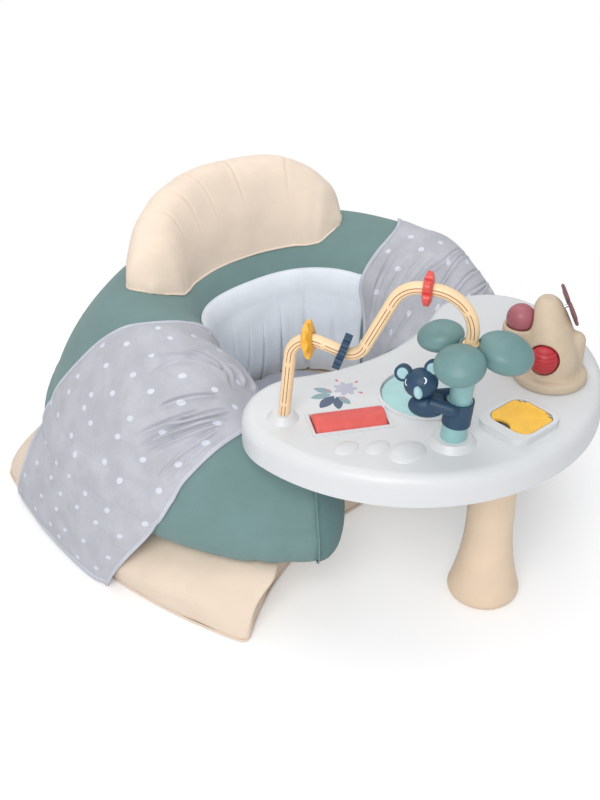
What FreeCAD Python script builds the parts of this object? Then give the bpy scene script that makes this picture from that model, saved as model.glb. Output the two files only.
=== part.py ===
"""Baby activity seat: an inflatable horseshoe seat in a fabric cover, with a lift-off activity table.

Frame: millimetres, +Z up, origin on the floor under the centre of the seat ring. The table is on the -Y side.
"""

import FreeCAD
import Part
import math
import os

V = FreeCAD.Vector

# Running values shared by the whole product
overrun = 2.0
soft_gap = 0.4
rigid_gap = 0.3
running_gap = 0.05
cover_wall = 2.0

# Base pillow: its outline on the floor
base_height = 85.0
base_front_corner_x = 304.0
base_front_corner_y = 272.0
base_back_corner_x = 350.0
base_back_corner_y = 255.0
base_side_x = 378.0
base_side_y = -30.0
base_back_y = 338.0
base_front_y = 152.0
bottom_panel_thickness = 2.0
# How far the sharp front corners draw in, in X and in Y, for each millimetre of cover
base_corner_inset_shares = (0.5, 1.85)
# Height share, front corner share, back corner share, side share, back share, front edge share
base_level_shares = (
    (0.00, 1.000, 1.000, 0.972, 0.975, 1.05),
    (0.25, 0.985, 0.985, 0.992, 0.995, 1.00),
    (0.50, 0.950, 0.950, 1.000, 1.000, 0.98),
    (0.78, 0.880, 0.880, 0.950, 0.960, 1.00),
    (1.00, 0.820, 0.820, 0.860, 0.900, 1.05),
)

# Seat ring: a tube of inflated section round the back and along both arms
ring_height = 230.0
ring_back_inset = 35.0
ring_inner_radius = 126.0
ring_outer_radius = 368.0
arm_end_angle = 55.0
arm_dome_depth = 45.0
ring_back_steps = 8
# Radial share and height share, from the outer bottom seam up over the crest to the inner bottom
ring_profile_shares = (
    (0.793, 0.00), (0.990, 0.19), (0.934, 0.40), (0.810, 0.67), (0.636, 0.90), (0.459, 1.00),
    (0.230, 0.967), (0.075, 0.860), (0.006, 0.640), (0.000, 0.300), (0.040, 0.00),
)
# Share of the arm's end angle and height share, from an arm's end back to its root
arm_station_shares = (
    (1.000, 0.610), (0.870, 0.620), (0.770, 0.635), (0.700, 0.655), (0.640, 0.710), (0.560, 0.820),
    (0.450, 0.920), (0.330, 0.970), (0.160, 0.995),
)
# Depth share and size share of an arm's domed end
dome_shares = ((0.0, 1.0), (0.35, 0.95), (0.68, 0.80), (0.90, 0.56), (1.0, 0.25))

# Inflation valves, in pockets under the bladders
valve_pocket_radius = 20.0
valve_pocket_depth = 26.0
valve_flange_radius = 14.0
valve_flange_height = 2.5
valve_tube_radius = 7.0
valve_tube_length = 14.0
valve_bore_radius = 4.0
valve_plug_head_radius = 8.0
valve_plug_head_height = 3.0
valve_place_share = 0.5

# Slide fastener in the bottom panel
zip_length = 320.0
zip_width = 26.0
zip_y = 190.0
zip_tape_thickness = 1.2
zip_slot_width = 8.0
zip_slider_length = 14.0
zip_slider_width = 7.0
zip_slider_corner_radius = 2.3
zip_floor_gap = 0.6

# Headrest arch on the back of the ring
headrest_outer_radius = 242.0
headrest_inner_radius = 154.0
headrest_rise = 119.0
headrest_half_angle = 62.8
headrest_wall = 1.5
headrest_sink = 9.0
# Width share and height share of its free outline, from the inner foot over the top to the outer foot
headrest_profile_shares = (
    (0.00, 0.00), (0.06, 0.42), (0.24, 0.80), (0.58, 1.00), (0.90, 0.74), (1.00, 0.34), (0.97, 0.00),
)
# Share of its half angle, height share and width share
headrest_station_shares = (
    (1.00, 0.20, 0.45), (0.96, 0.46, 0.78), (0.86, 0.65, 0.96), (0.70, 0.83, 0.98), (0.50, 0.936, 1.0),
    (0.25, 0.99, 1.0), (0.0, 1.0, 1.0),
)

# Backrest pad on the inner wall and seat pad in the well
backrest_thickness = 15.0
backrest_top_rise = 180.0
backrest_end_rise = 188.0
backrest_bottom_rise = 46.0
backrest_channels = 6
backrest_channel_share = 0.80
backrest_end_share = 0.45
backrest_sink = 5.0
# Height shares of the points on the pad's back, and height share and bulge share of those on its face
backrest_back_shares = (0.0, 0.25, 0.5, 0.75, 1.0)
backrest_face_shares = ((0.80, 0.80), (0.50, 1.00), (0.20, 0.85))
seat_pad_radius = 95.0
seat_pad_y = -20.0
seat_pad_height = 42.0
seat_pad_edge_height = 14.0
seat_pad_crown = 6.0

# Polka-dot bands over the arms
band_thickness = 2.0
band_floor_gap = 1.0
band_gap = 0.8
band_side_gap = 1.0
band_hip_share = 0.42
band_hem_share = 0.6
ring_wave_room = 10.0
# Plan outline of one band as shares of the ring's outer radius, mirrored for the other
band_plan_shares = (
    (0.22, -0.015), (0.394, -0.014), (0.7255, 0.0245), (1.016, 0.497), (1.35, 0.62), (1.35, -0.02),
    (1.043, -0.167), (0.985, -0.235), (0.963, -0.312), (0.915, -0.389), (0.857, -0.428), (0.792, -0.449),
    (0.697, -0.455), (0.595, -0.440), (0.41, -0.40), (0.20, -0.30),
)

# Table top: a bean of five arcs
tray_top_z = 282.0
tray_height = 40.0
tray_front_y = -485.0
tray_lobe_x = 166.0
tray_lobe_y = -238.0
tray_lobe_radius = 88.0
tray_hollow_y = -191.0
tray_wall = 3.0
tray_edge_radius = 15.0
tray_bottom_recess = 3.5
tray_bottom_wall = 2.5

# Table leg
leg_y = -395.0
leg_foot_radius = 47.0
leg_neck_radius = 30.5
leg_top_radius = 32.0
leg_foot_height = 12.0
leg_neck_height = 135.0
leg_toe_inset = 1.5
leg_toe_height = 4.0
leg_flare_share = 0.36
leg_insert = 24.0
leg_socket_wall = 2.5
leg_screw_radius = 3.0
leg_screw_length = 26.0
leg_screw_head_radius = 6.0
leg_screw_head_height = 2.5

# Screws of the table's underside
tray_screw_radius = 1.5
tray_screw_length = 14.0
tray_screw_head_radius = 3.5
tray_screw_head_height = 2.0
tray_boss_radius = 5.0
# Screw places as shares of the lobe's centre distance and of the front edge's distance
tray_screw_shares = ((1.30, 0.50), (1.05, 0.78), (0.38, 0.93), (0.62, 0.42))

# Dark fixing strap under the table
strap_width = 24.0
strap_thickness = 1.6
strap_sag = 12.0
strap_span = 90.0
strap_x = -168.0
strap_y = -352.0
strap_turn = -38.0
strap_pad_length = 16.0

# Bead rail: post, dip and arch in one upright plane
post_x = -204.7
post_y = -225.8
rail_radius = 7.35
rail_rise = 199.0
rail_insert = 12.0
post_boss_radius = 20.0
post_boss_top_radius = 12.5
post_boss_height = 8.0
# Span share and rise share of the rail's corners
rail_corner_shares = ((0.058, 0.619), (0.414, 0.488), (0.636, 0.989), (1.042, 0.974))
rail_corner_radii = (25.3, 19.0, 33.2, 48.4)
rail_flange_radius = 10.5
rail_flange_height = 5.0
rail_end_sink = 1.5

# Beads on the rail
bead_play = 0.6
bead_bend_play = 1.4
bead_yellow_radius = 23.0
bead_yellow_thickness = 12.0
bead_yellow_points = 8
bead_yellow_dip_share = 0.80
bead_yellow_bend_share = 0.50
bead_yellow_hub_share = 0.60
bead_navy_radius = 22.0
bead_navy_thickness = 9.0
bead_navy_knobs = 12
bead_navy_knob_radius = 3.4
bead_red_radius = 20.5
bead_red_thickness = 11.0
bead_red_petals = 6
bead_red_petal_share = 0.36
bead_red_hub_share = 0.60
bead_red_share = 0.50
bead_rim_share = 0.30

# Palm: leaning trunk with a collar, hub and three leaves
trunk_x = -87.0
trunk_y = -394.0
trunk_lean_x = 0.063
trunk_lean_y = -0.055
trunk_radius = 13.5
trunk_collar_radius = 15.5
trunk_collar_height = 25.0
trunk_insert = 14.0
trunk_boss_radius = 29.0
trunk_boss_top_radius = 22.0
trunk_boss_height = 8.0
hub_radius = 20.0
hub_height = 25.0
crown_height = 135.0
leaf_reach = 43.0
leaf_radius = 33.0
leaf_half_thickness = 22.0
leaf_drop = 16.0
leaf_droop = 14.0
# Turn share, reach share, drop share and size share of the three leaves
leaf_shares = ((0.264, 0.97, 0.50, 0.82), (0.572, 0.95, 0.40, 0.88), (0.861, 0.90, 0.62, 1.00))

# Koala on its sleeve round the trunk
sleeve_length = 34.0
sleeve_radius = 17.0
liner_wall = 1.2
liner_flange_height = 2.0
koala_angle = 139.0
koala_body_reach = 36.0
koala_body_height = 52.0
koala_body_half_width = 23.0
koala_body_half_height = 15.0
koala_arm_radius = 7.5
koala_hand_share = 0.60
koala_head_reach = 48.0
koala_head_height = 82.0
koala_head_radius = 20.0
koala_head_depth_share = 0.88
koala_ear_radius = 10.0
koala_ear_thickness = 7.0
koala_ear_angle = 50.0
koala_head_tilt = 20.0
koala_face_angle = -63.0
koala_face_raise = 15.0
koala_nose_half_width = 5.0
koala_nose_half_height = 7.5
koala_inner_ear_share = 0.66

# Turning disc in its recess
disc_x = -36.0
disc_y = -301.0
disc_recess_radius = 56.0
disc_recess_depth = 6.0
disc_rim_width = 5.0
disc_rim_height = 1.5
disc_thickness = 4.2
disc_pin_radius = 3.0
disc_pin_head_radius = 6.0
disc_pin_head_height = 2.0
disc_window_radius = 11.0
disc_window_reach = 30.0
disc_window_angle = 8.0
disc_window_thickness = 2.5

# Roller in its pocket
roller_x = -149.0
roller_y = -283.0
roller_turn = -28.5
roller_radius = 21.0
roller_length = 88.0
roller_sink = 9.0
roller_side_gap = 1.6
roller_edge_radius = 3.0
roller_axle_radius = 2.5
pocket_wall = 2.0
roller_rim_height = 2.0
roller_rim_width = 4.0

# Three moulded pebbles: place, half sizes and height, as shares of the lobe's and the front's distances
pebble_shares = (
    (-1.14, 0.664, 0.105, 0.080, 0.028), (-0.97, 0.712, 0.105, 0.078, 0.032),
    (-0.855, 0.772, 0.155, 0.120, 0.045),
)

# Flap on its raised bezel
bezel_x = -1.0
bezel_y = -421.5
bezel_length_x = 80.0
bezel_length_y = 72.0
bezel_height = 9.0
bezel_corner_radius = 16.0
flap_x = 4.0
flap_size = 60.0
flap_thickness = 3.0
flap_corner_radius = 15.0
flap_gap = 1.0
flap_pocket_depth = 15.0
flap_notch_radius = 16.0
flap_notch_offset = 6.0
flap_notch_reach = 8.0
flap_pin_radius = 1.5
flap_barrel_radius = 2.9
flap_pin_seat = 3.0
flap_heel_reach = 3.5
flap_heel_half_width = 21.0

# Mound with two balls and a butterfly
mound_x = 112.0
mound_y = -377.0
mound_radius = 47.0
mound_dish_height = 13.0
mound_height = 104.0
mound_peak_x = 118.0
mound_peak_y = -357.0
# Height share, radius share and lean share of the hill
mound_hill_shares = (
    (0.06, 0.82, 0.0), (0.30, 0.74, 0.08), (0.52, 0.66, 0.25), (0.72, 0.54, 0.55), (0.88, 0.41, 0.82),
    (1.0, 0.20, 1.0),
)
mound_limb_radius = 12.5
mound_limb_height = 46.0
mound_limb_x = 133.0
mound_limb_y = -395.0
mound_lobe_radius = 22.0
mound_lobe_height = 65.0
ball_radius = 18.5
ball_play = 1.2
ball_pin_radius = 2.5
ball_pin_seat = 6.0
ball_mauve_x = 96.0
ball_mauve_y = -335.0
ball_mauve_z = 355.0
ball_red_x = 88.0
ball_red_y = -383.0
ball_red_z = 319.0
ball_red_ribs = 7
ball_rib_depth = 0.8
butterfly_x = 136.5
butterfly_y = -376.2
butterfly_z = 376.0
butterfly_half_length = 27.0
butterfly_half_width = 15.0
butterfly_body_share = 0.80
butterfly_thickness = 4.0
butterfly_pin_radius = 2.0
butterfly_pin_length = 20.0
butterfly_turn = -8.0
butterfly_rise_share = 0.40

UP = V(0, 0, 1)
HALF_TURN = 180.0
QUARTER_TURN = 90.0

parts = {}


def polar(radius, angle, z=0.0):
    a = math.radians(angle)
    return V(radius * math.cos(a), radius * math.sin(a), z)


def line(a, b):
    return Part.makeLine(a, b)


def arcs(points):
    """Arcs through every second point, each pulled through the point between."""
    return [Part.Arc(*points[i:i + 3]).toShape() for i in range(0, len(points) - 2, 2)]


def closed_section(points):
    return Part.Wire(arcs(points) + [line(points[-1], points[0])])


def solid_loft(wires, ruled=False):
    return Part.makeLoft(wires, True, ruled)


def cylinder(radius, height, base, axis=UP):
    return Part.makeCylinder(radius, height, base, axis)


def tube(outer, inner, height, base, axis=UP):
    start = base - axis * overrun
    return cylinder(outer, height, base, axis).cut(cylinder(inner, height + 2 * overrun, start, axis))


def upright_to(axis):
    """The rotation that turns +Z onto an axis."""
    return FreeCAD.Rotation(UP, axis)


def placed(shape, position, rotation=None):
    copy = shape.copy()
    copy.Placement = FreeCAD.Placement(position, rotation or FreeCAD.Rotation())
    return copy


def ellipsoid(half_x, half_y, half_z):
    """A unit ball stretched to three half sizes, kept as one exact solid."""
    stretch = FreeCAD.Matrix()
    stretch.scale(half_x, half_y, half_z)
    return Part.makeSphere(1.0).transformGeometry(stretch)


def oval(radius, half_height):
    """A flattened ball of revolution made of two tangent arcs, axis along Z."""
    rim_radius = half_height ** 2 / radius
    rim = V(radius - rim_radius, 0, 0)
    pole_radius = (rim.x ** 2 + half_height ** 2 - rim_radius ** 2) / (2 * (half_height - rim_radius))
    pole = V(0, 0, half_height - pole_radius)
    way = (rim - pole).normalize()
    top = V(0, 0, half_height)
    shoulder = pole + way * pole_radius
    middle = pole + (way + UP).normalize() * pole_radius

    def low(p):
        return V(p.x, p.y, -p.z)

    profile = Part.Wire([
        Part.Arc(top, middle, shoulder).toShape(),
        Part.Arc(shoulder, V(radius, 0, 0), low(shoulder)).toShape(),
        Part.Arc(low(shoulder), low(middle), low(top)).toShape(),
        line(low(top), top),
    ])
    return Part.Face(profile).revolve(V(0, 0, 0), UP, 2 * HALF_TURN)


def rounded_box(length, width, height, radius):
    """A box with rounded upright corners, centred in plan, standing on zero."""
    box = Part.makeBox(length, width, height, V(-length / 2, -width / 2, 0))
    upright = [e for e in box.Edges if abs(e.tangentAt(e.FirstParameter).z) > 0.5]
    return box.makeFillet(radius, upright)


def mirrored(shape):
    return shape.mirror(V(0, 0, 0), V(1, 0, 0))


def offset_outline(points, grow):
    """Moves plane (radius, height) points outward along the outline's own normals."""
    moved = []
    count = len(points)
    for i, (r, z) in enumerate(points):
        before = points[i - 1]
        after = points[(i + 1) % count]
        dr = after[0] - before[0]
        dz = after[1] - before[1]
        length = math.hypot(dr, dz)
        moved.append((r + grow * dz / length, z - grow * dr / length))
    return moved


def in_plane(points, angle):
    return [polar(r, angle, z) for r, z in points]


# Base pillow

def base_outline(z_share, shares, inset, z):
    front, back, side, rear, hollow = shares
    reach = 1.0 - inset / base_side_x
    fx = base_front_corner_x * front - base_corner_inset_shares[0] * inset
    fy = base_corner_inset_shares[1] * inset - base_front_corner_y
    bx = base_back_corner_x * back * reach
    by = base_back_corner_y * back * reach
    middle_front = V(0, -(base_front_y * hollow - inset), z)
    front_left = V(-fx, fy, z)
    front_right = V(fx, fy, z)
    back_right = V(bx, by, z)
    back_left = V(-bx, by, z)
    side_right = V(base_side_x * side * reach, base_side_y, z)
    side_left = V(-base_side_x * side * reach, base_side_y, z)
    rear_middle = V(0, base_back_y * rear * reach, z)
    return Part.Wire([
        Part.Arc(front_left, middle_front, front_right).toShape(),
        Part.Arc(front_right, side_right, back_right).toShape(),
        Part.Arc(back_right, rear_middle, back_left).toShape(),
        Part.Arc(back_left, side_left, front_left).toShape(),
    ])


def base_loft(inset, low):
    high = base_height - inset
    wires = []
    for share, *sizes in base_level_shares:
        wires.append(base_outline(share, sizes, inset, low + share * (high - low)))
    return solid_loft(wires)


def base_side_radius(angle):
    """Largest distance from the seat's axis to the bulged side of the base, along a ray."""
    reach = 0.0
    for level in base_level_shares[:3]:
        front, back, side = level[1:4]
        arc = Part.Arc(
            V(base_front_corner_x * front, -base_front_corner_y, 0),
            V(base_side_x * side, base_side_y, 0),
            V(base_back_corner_x * back, base_back_corner_y * back, 0),
        ).toShape().Curve
        along = polar(1.0, angle).dot(arc.Center)
        reach = max(reach, along + math.sqrt(along ** 2 - arc.Center.Length ** 2 + arc.Radius ** 2))
    return reach


def valve_pocket(x, y, z):
    return cylinder(valve_pocket_radius, valve_pocket_depth + overrun, V(x, y, z - overrun))


def valve(x, y, z):
    """A flange under the pocket's ceiling, and a tube that hangs from it."""
    flange_z = z + valve_pocket_depth - valve_flange_height
    flange = cylinder(valve_flange_radius, valve_flange_height, V(x, y, flange_z))
    neck = cylinder(valve_tube_radius, valve_tube_length, V(x, y, flange_z - valve_tube_length))
    bore = cylinder(valve_bore_radius, valve_tube_length, V(x, y, flange_z - valve_tube_length))
    return flange.fuse(neck).cut(bore)


def valve_plug(x, y, z):
    mouth_z = z + valve_pocket_depth - valve_flange_height - valve_tube_length
    head = cylinder(valve_plug_head_radius, valve_plug_head_height, V(x, y, mouth_z - valve_plug_head_height))
    stem = cylinder(valve_bore_radius - running_gap, valve_tube_length / 2, V(x, y, mouth_z))
    return head.fuse(stem)


def zip_slab(grow):
    length = zip_length + zip_width + 2 * grow
    width = zip_width + 2 * grow
    return Part.makeBox(length, width, zip_tape_thickness + grow, V(-length / 2, zip_y - width / 2,
                                                                     bottom_panel_thickness))


def make_base():
    panel_wire = base_outline(0.0, base_level_shares[0][1:], 0.0, 0.0)
    panel = Part.Face(panel_wire).extrude(V(0, 0, bottom_panel_thickness))
    slot = Part.makeBox(
        zip_length, zip_slot_width, bottom_panel_thickness + 2 * overrun,
        V(-zip_length / 2, zip_y - zip_slot_width / 2, -overrun),
    )
    parts["base_bottom_panel"] = panel.cut(slot)
    parts["base_zip_tape"] = zip_slab(0.0)
    slider = rounded_box(
        zip_slider_length, zip_slider_width, bottom_panel_thickness - running_gap - zip_floor_gap,
        zip_slider_corner_radius)
    slider.translate(V(-zip_length / 2 + zip_slider_length / 2 + overrun, zip_y, zip_floor_gap))
    parts["base_zip_slider"] = slider

    floor = bottom_panel_thickness
    parts["base_cover"] = base_loft(0.0, floor).cut(base_loft(cover_wall, floor))
    low = bottom_panel_thickness + soft_gap
    bladder = base_loft(cover_wall + soft_gap, low)
    valve_y = base_back_y * valve_place_share
    bladder = bladder.cut(valve_pocket(0, valve_y - 2 * zip_width, low))
    parts["base_bladder"] = bladder.cut(zip_slab(soft_gap))


# Seat ring

def ring_inset(angle):
    """How far the ring's back draws in from a true circle."""
    return ring_back_inset * max(0.0, math.sin(math.radians(angle))) ** 2


def ring_points(angle, height_share, grow):
    inner = ring_inner_radius - ring_inset(angle)
    width = ring_outer_radius - ring_inner_radius
    rise = ring_height * height_share
    points = [(inner + u * width, v * rise) for u, v in ring_profile_shares]
    belly = Part.Arc(*[V(r, z, 0) for r, z in points[:3]]).toShape().Curve
    lift = base_height + soft_gap - min(0.0, belly.Center.y - belly.Radius)
    return offset_outline([(r, z + lift) for r, z in points], grow)


def arm_stations():
    return [(-arm_end_angle * share, height) for share, height in arm_station_shares]


def ring_stations():
    arm = arm_stations()
    back = [(HALF_TURN * i / ring_back_steps, 1.0) for i in range(ring_back_steps + 1)]
    other = [(HALF_TURN - angle, height) for angle, height in reversed(arm)]
    return arm + back + other


def ring_loft(grow):
    return solid_loft([closed_section(in_plane(ring_points(a, h, grow), a)) for a, h in ring_stations()])


def arm_dome(grow):
    """The domed end of the right arm: shrinking copies of its end section, pushed out along the arm."""
    angle = -arm_end_angle
    share = arm_station_shares[0][1]
    points = in_plane(ring_points(angle, share, grow), angle)
    centre = V(0, 0, 0)
    for p in points:
        centre = centre + p
    centre = centre * (1.0 / len(points))
    out = polar(1.0, angle - QUARTER_TURN)
    wires = []
    for depth, size in dome_shares:
        push = out * (depth * (arm_dome_depth + grow))
        wires.append(closed_section([centre + (p - centre) * size + push for p in points]))
    return solid_loft(wires)


def make_ring():
    parts["ring_cover"] = ring_loft(0.0).cut(ring_loft(-cover_wall))
    dome = arm_dome(0.0).cut(arm_dome(-cover_wall))
    parts["end_panel_right"] = dome
    parts["end_panel_left"] = mirrored(dome)
    inner = -(cover_wall + soft_gap)
    bladder = ring_loft(inner)
    air_dome = arm_dome(inner)
    bladder = bladder.fuse(air_dome).fuse(mirrored(air_dome))
    middle = (ring_inner_radius + ring_outer_radius) * valve_place_share - ring_back_inset
    low = base_height + soft_gap + cover_wall + soft_gap
    bladder = bladder.cut(valve_pocket(0, middle, low))
    parts["ring_bladder"] = bladder


def make_valves():
    base_y = base_back_y * valve_place_share - zip_width * 2
    base_low = bottom_panel_thickness + soft_gap
    ring_y = (ring_inner_radius + ring_outer_radius) * valve_place_share - ring_back_inset
    ring_low = base_height + soft_gap + cover_wall + soft_gap
    spots = ((0, base_y, base_low), (0, ring_y, ring_low))
    parts["air_valves"] = Part.makeCompound([valve(*s) for s in spots])
    parts["valve_plugs"] = Part.makeCompound([valve_plug(*s) for s in spots])


# Headrest

def headrest_points(angle, height_share, width_share, inset):
    """Its outline at one station: a free crown, and a foot sunk under the ring's crest."""
    middle = (headrest_inner_radius + headrest_outer_radius) / 2 - ring_inset(angle)
    width = (headrest_outer_radius - headrest_inner_radius) * width_share
    crest = base_height + ring_height
    foot = crest - headrest_sink - ring_crown_drop(width / 2)
    rise = headrest_rise * height_share
    free = []
    for u, v in headrest_profile_shares:
        free.append((middle - width / 2 + u * width, foot + v * (crest + rise - foot)))
    outline = list(reversed(free))
    return offset_outline(outline, -inset)


def ring_crown_drop(reach):
    """How far the ring's crown falls away at a distance from its crest."""
    crown = ring_profile_shares[4:7]
    width = ring_outer_radius - ring_inner_radius
    circle = Part.Arc(*[V(u * width, v * ring_height, 0) for u, v in crown]).toShape().Curve
    return circle.Radius - math.sqrt(circle.Radius ** 2 - reach ** 2)


def headrest_section(angle, height_share, width_share, inset):
    points = in_plane(headrest_points(angle, height_share, width_share, inset), angle)
    return Part.Wire(arcs(points) + [line(points[-1], points[0])])


def headrest_loft(inset):
    stations = []
    for share, height, width in headrest_station_shares:
        stations.append((share, height, width))
        if share:
            stations.append((-share, height, width))
    wires = []
    for share, height, width in sorted(stations, reverse=True):
        angle = QUARTER_TURN + share * (headrest_half_angle - math.degrees(inset / headrest_inner_radius))
        wires.append(headrest_section(angle, height, width, inset))
    return solid_loft(wires)


def make_headrest():
    outer = headrest_loft(0.0).cut(ring_loft(soft_gap))
    inner = headrest_loft(headrest_wall).cut(ring_loft(soft_gap + headrest_wall))
    air = headrest_loft(headrest_wall + soft_gap).cut(ring_loft(2 * soft_gap + headrest_wall))
    parts["headrest_cover"] = max(outer.cut(inner).Solids, key=lambda s: s.Volume)
    parts["headrest_bladder"] = max(air.Solids, key=lambda s: s.Volume)


# Pads

def backrest_points(angle, thickness_share, top_rise):
    """The pad's section: its back hugs the ring's inner wall, its face swells into the well."""
    floor = base_height + soft_gap
    low = floor + backrest_bottom_rise
    high = floor + top_rise
    wall = ring_points(angle, 1.0, -backrest_sink)
    front = ring_points(angle, 1.0, 0.0)
    back = []
    for share in backrest_back_shares:
        z = low + share * (high - low)
        back.append((wall_radius(wall, z), z))
    swell = backrest_thickness * thickness_share
    face = []
    for share, bulge in backrest_face_shares:
        z = low + share * (high - low)
        face.append((wall_radius(front, z) - swell * bulge, z))
    return back, face


def wall_radius(wall, z):
    """Radius of the ring's inner wall at a height, from the wall's own arcs."""
    inner = wall[5:]
    for i in range(0, len(inner) - 2, 2):
        trio = [V(r, h, 0) for r, h in inner[i:i + 3]]
        if trio[2].y <= z <= trio[0].y:
            circle = Part.Arc(*trio).toShape().Curve
            return circle.Center.x - math.sqrt(circle.Radius ** 2 - (z - circle.Center.y) ** 2)
    return inner[-1][0]


def backrest_section(angle, thickness_share, top_rise):
    back, face = backrest_points(angle, thickness_share, top_rise)
    back_points = in_plane(back, angle)
    face_points = in_plane([back[-1]] + face + [back[0]], angle)
    return Part.Wire(arcs(back_points) + arcs(face_points))


def make_backrest():
    wires = []
    steps = 2 * (backrest_channels + 1)
    for i in range(steps + 1):
        share = i / steps
        crown = math.sin(math.pi * share)
        rise = backrest_end_rise + (backrest_top_rise - backrest_end_rise) * math.sqrt(crown)
        fullness = backrest_end_share + (1.0 - backrest_end_share) * math.sqrt(crown)
        channel = backrest_channel_share if i % 2 == 0 else 1.0
        wires.append(backrest_section(HALF_TURN * share, fullness * channel, rise))
    pad = solid_loft(wires).cut(ring_loft(soft_gap))
    parts["backrest_pad"] = max(pad.Solids, key=lambda s: s.Volume)


def make_seat_pad():
    low = base_height + soft_gap
    shoulder = low + 2 * seat_pad_edge_height
    crown = seat_pad_height - 2 * seat_pad_edge_height
    waist = seat_pad_radius - seat_pad_crown
    dome_radius = (waist ** 2 + crown ** 2) / (2 * crown)
    half = math.asin(waist / dome_radius) / 2
    centre = shoulder + crown - dome_radius
    middle = V(dome_radius * math.sin(half), 0, centre + dome_radius * math.cos(half))
    bulge = V(seat_pad_radius, 0, low + seat_pad_edge_height)
    profile = Part.Wire([
        line(V(0, 0, low), V(waist, 0, low)),
        Part.Arc(V(waist, 0, low), bulge, V(waist, 0, shoulder)).toShape(),
        Part.Arc(V(waist, 0, shoulder), middle, V(0, 0, shoulder + crown)).toShape(),
        line(V(0, 0, shoulder + crown), V(0, 0, low)),
    ])
    pad = Part.Face(profile).revolve(V(0, 0, 0), UP, 2 * HALF_TURN)
    parts["seat_pad"] = placed(pad, V(0, seat_pad_y, 0))


# Arm bands

def band_hull_section(angle, height_share, grow):
    """Everything under the band in one outline: up the base's side, over the arm and down inside it."""
    ring = ring_points(angle, height_share, grow)
    belly = Part.Arc(*[V(r, z, 0) for r, z in ring[:3]]).toShape().Curve
    widest = (belly.Center.x + belly.Radius, belly.Center.y)
    turn = math.atan2(ring[2][1] - belly.Center.y, ring[2][0] - belly.Center.x) / 2
    shoulder = (belly.Center.x + belly.Radius * math.cos(turn), belly.Center.y + belly.Radius * math.sin(turn))
    side = base_side_radius(angle) + band_side_gap + grow
    foot = (side - band_side_gap, band_floor_gap)
    hip = (side, base_height * band_hip_share)
    low = (ring[-1][0], band_floor_gap)
    points = in_plane([foot, hip, widest, shoulder] + ring[2:] + [low], angle)
    return Part.Wire(arcs(points[:-1]) + [line(points[-2], points[-1]), line(points[-1], points[0])])


def band_hull(grow):
    return solid_loft([band_hull_section(a, h, grow) for a, h in ring_stations()])


def make_bands():
    corners = [V(u * ring_outer_radius, v * ring_outer_radius, -overrun) for u, v in band_plan_shares]
    plan = Part.Face(Part.makePolygon(corners + corners[:1]))
    column = plan.extrude(V(0, 0, base_height + ring_height + 2 * ring_wave_room))
    under = (ring_inner_radius + ring_outer_radius) * band_hem_share
    inside = cylinder(under, base_height + soft_gap + overrun, V(0, 0, -overrun))
    sheet = band_hull(band_gap + band_thickness).cut(band_hull(band_gap))
    band = max(sheet.common(column).cut(inside).Solids, key=lambda s: s.Volume)
    parts["arm_band_right"] = band
    parts["arm_band_left"] = mirrored(band)


# Table top

def tray_arc_centres():
    """Centres and radii of the front arc and of the hollow, tangent to the lobes."""
    gap = tray_lobe_y - tray_front_y
    front_radius = (tray_lobe_x ** 2 + gap ** 2 - tray_lobe_radius ** 2) / (2 * (gap - tray_lobe_radius))
    front_y = tray_front_y + front_radius
    drop = tray_hollow_y - tray_lobe_y
    hollow_radius = (tray_lobe_x ** 2 + drop ** 2 - tray_lobe_radius ** 2) / (2 * (tray_lobe_radius - drop))
    hollow_y = tray_hollow_y + hollow_radius
    return front_y, front_radius, hollow_y, hollow_radius


def tray_outline(inset, z):
    front_y, front_radius, hollow_y, hollow_radius = tray_arc_centres()
    front_r = front_radius - inset
    hollow_r = hollow_radius + inset
    lobe_r = tray_lobe_radius - inset
    lobe = V(tray_lobe_x, tray_lobe_y, z)
    front = V(0, front_y, z)
    hollow = V(0, hollow_y, z)
    side = front + (lobe - front).normalize() * front_r
    shoulder = hollow + (lobe - hollow).normalize() * hollow_r
    lobe_way = (side - lobe + shoulder - lobe).normalize()
    lobe_middle = lobe + lobe_way * lobe_r
    nose = V(0, front_y - front_r, z)
    front_way = (side - front).normalize() + V(0, -1, 0)
    front_middle = front + front_way.normalize() * front_r
    throat = V(0, hollow_y - hollow_r, z)

    def other(p):
        return V(-p.x, p.y, p.z)

    return Part.Wire([
        Part.Arc(nose, front_middle, side).toShape(),
        Part.Arc(side, lobe_middle, shoulder).toShape(),
        Part.Arc(shoulder, throat, other(shoulder)).toShape(),
        Part.Arc(other(shoulder), other(lobe_middle), other(side)).toShape(),
        Part.Arc(other(side), other(front_middle), nose).toShape(),
    ])


def tray_block(inset, low, high, edge_radius):
    block = Part.Face(tray_outline(inset, low)).extrude(V(0, 0, high - low))
    if not edge_radius:
        return block
    rim = [e for e in block.Edges if min(v.Point.z for v in e.Vertexes) > high - running_gap]
    return block.makeFillet(edge_radius, rim)


def cone_boss(x, y, foot, head, height):
    return Part.makeCone(foot, head, height, V(x, y, tray_top_z))


def roller_box(length, width, low, high):
    box = Part.makeBox(length, width, high - low, V(-length / 2, -width / 2, 0))
    return placed(box, V(roller_x, roller_y, low), FreeCAD.Rotation(UP, roller_turn))


def roller_axis():
    return polar(1.0, roller_turn)


def roller_z():
    return tray_top_z - roller_sink


def flap_hinge_x():
    return flap_x + flap_size / 2 - flap_barrel_radius


def flap_plane_z():
    return tray_top_z + bezel_height - rigid_gap - flap_thickness / 2


def bezel_pocket(grow, low, high):
    size_x = flap_size + 2 * (flap_gap + grow)
    pocket = rounded_box(size_x, size_x, high - low, flap_corner_radius + flap_gap + grow)
    pocket.translate(V(flap_x, bezel_y, low))
    return pocket


def trunk_axis():
    return V(trunk_lean_x, trunk_lean_y, 1.0).normalize()


def trunk_point(distance):
    return V(trunk_x, trunk_y, tray_top_z) + trunk_axis() * distance


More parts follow.
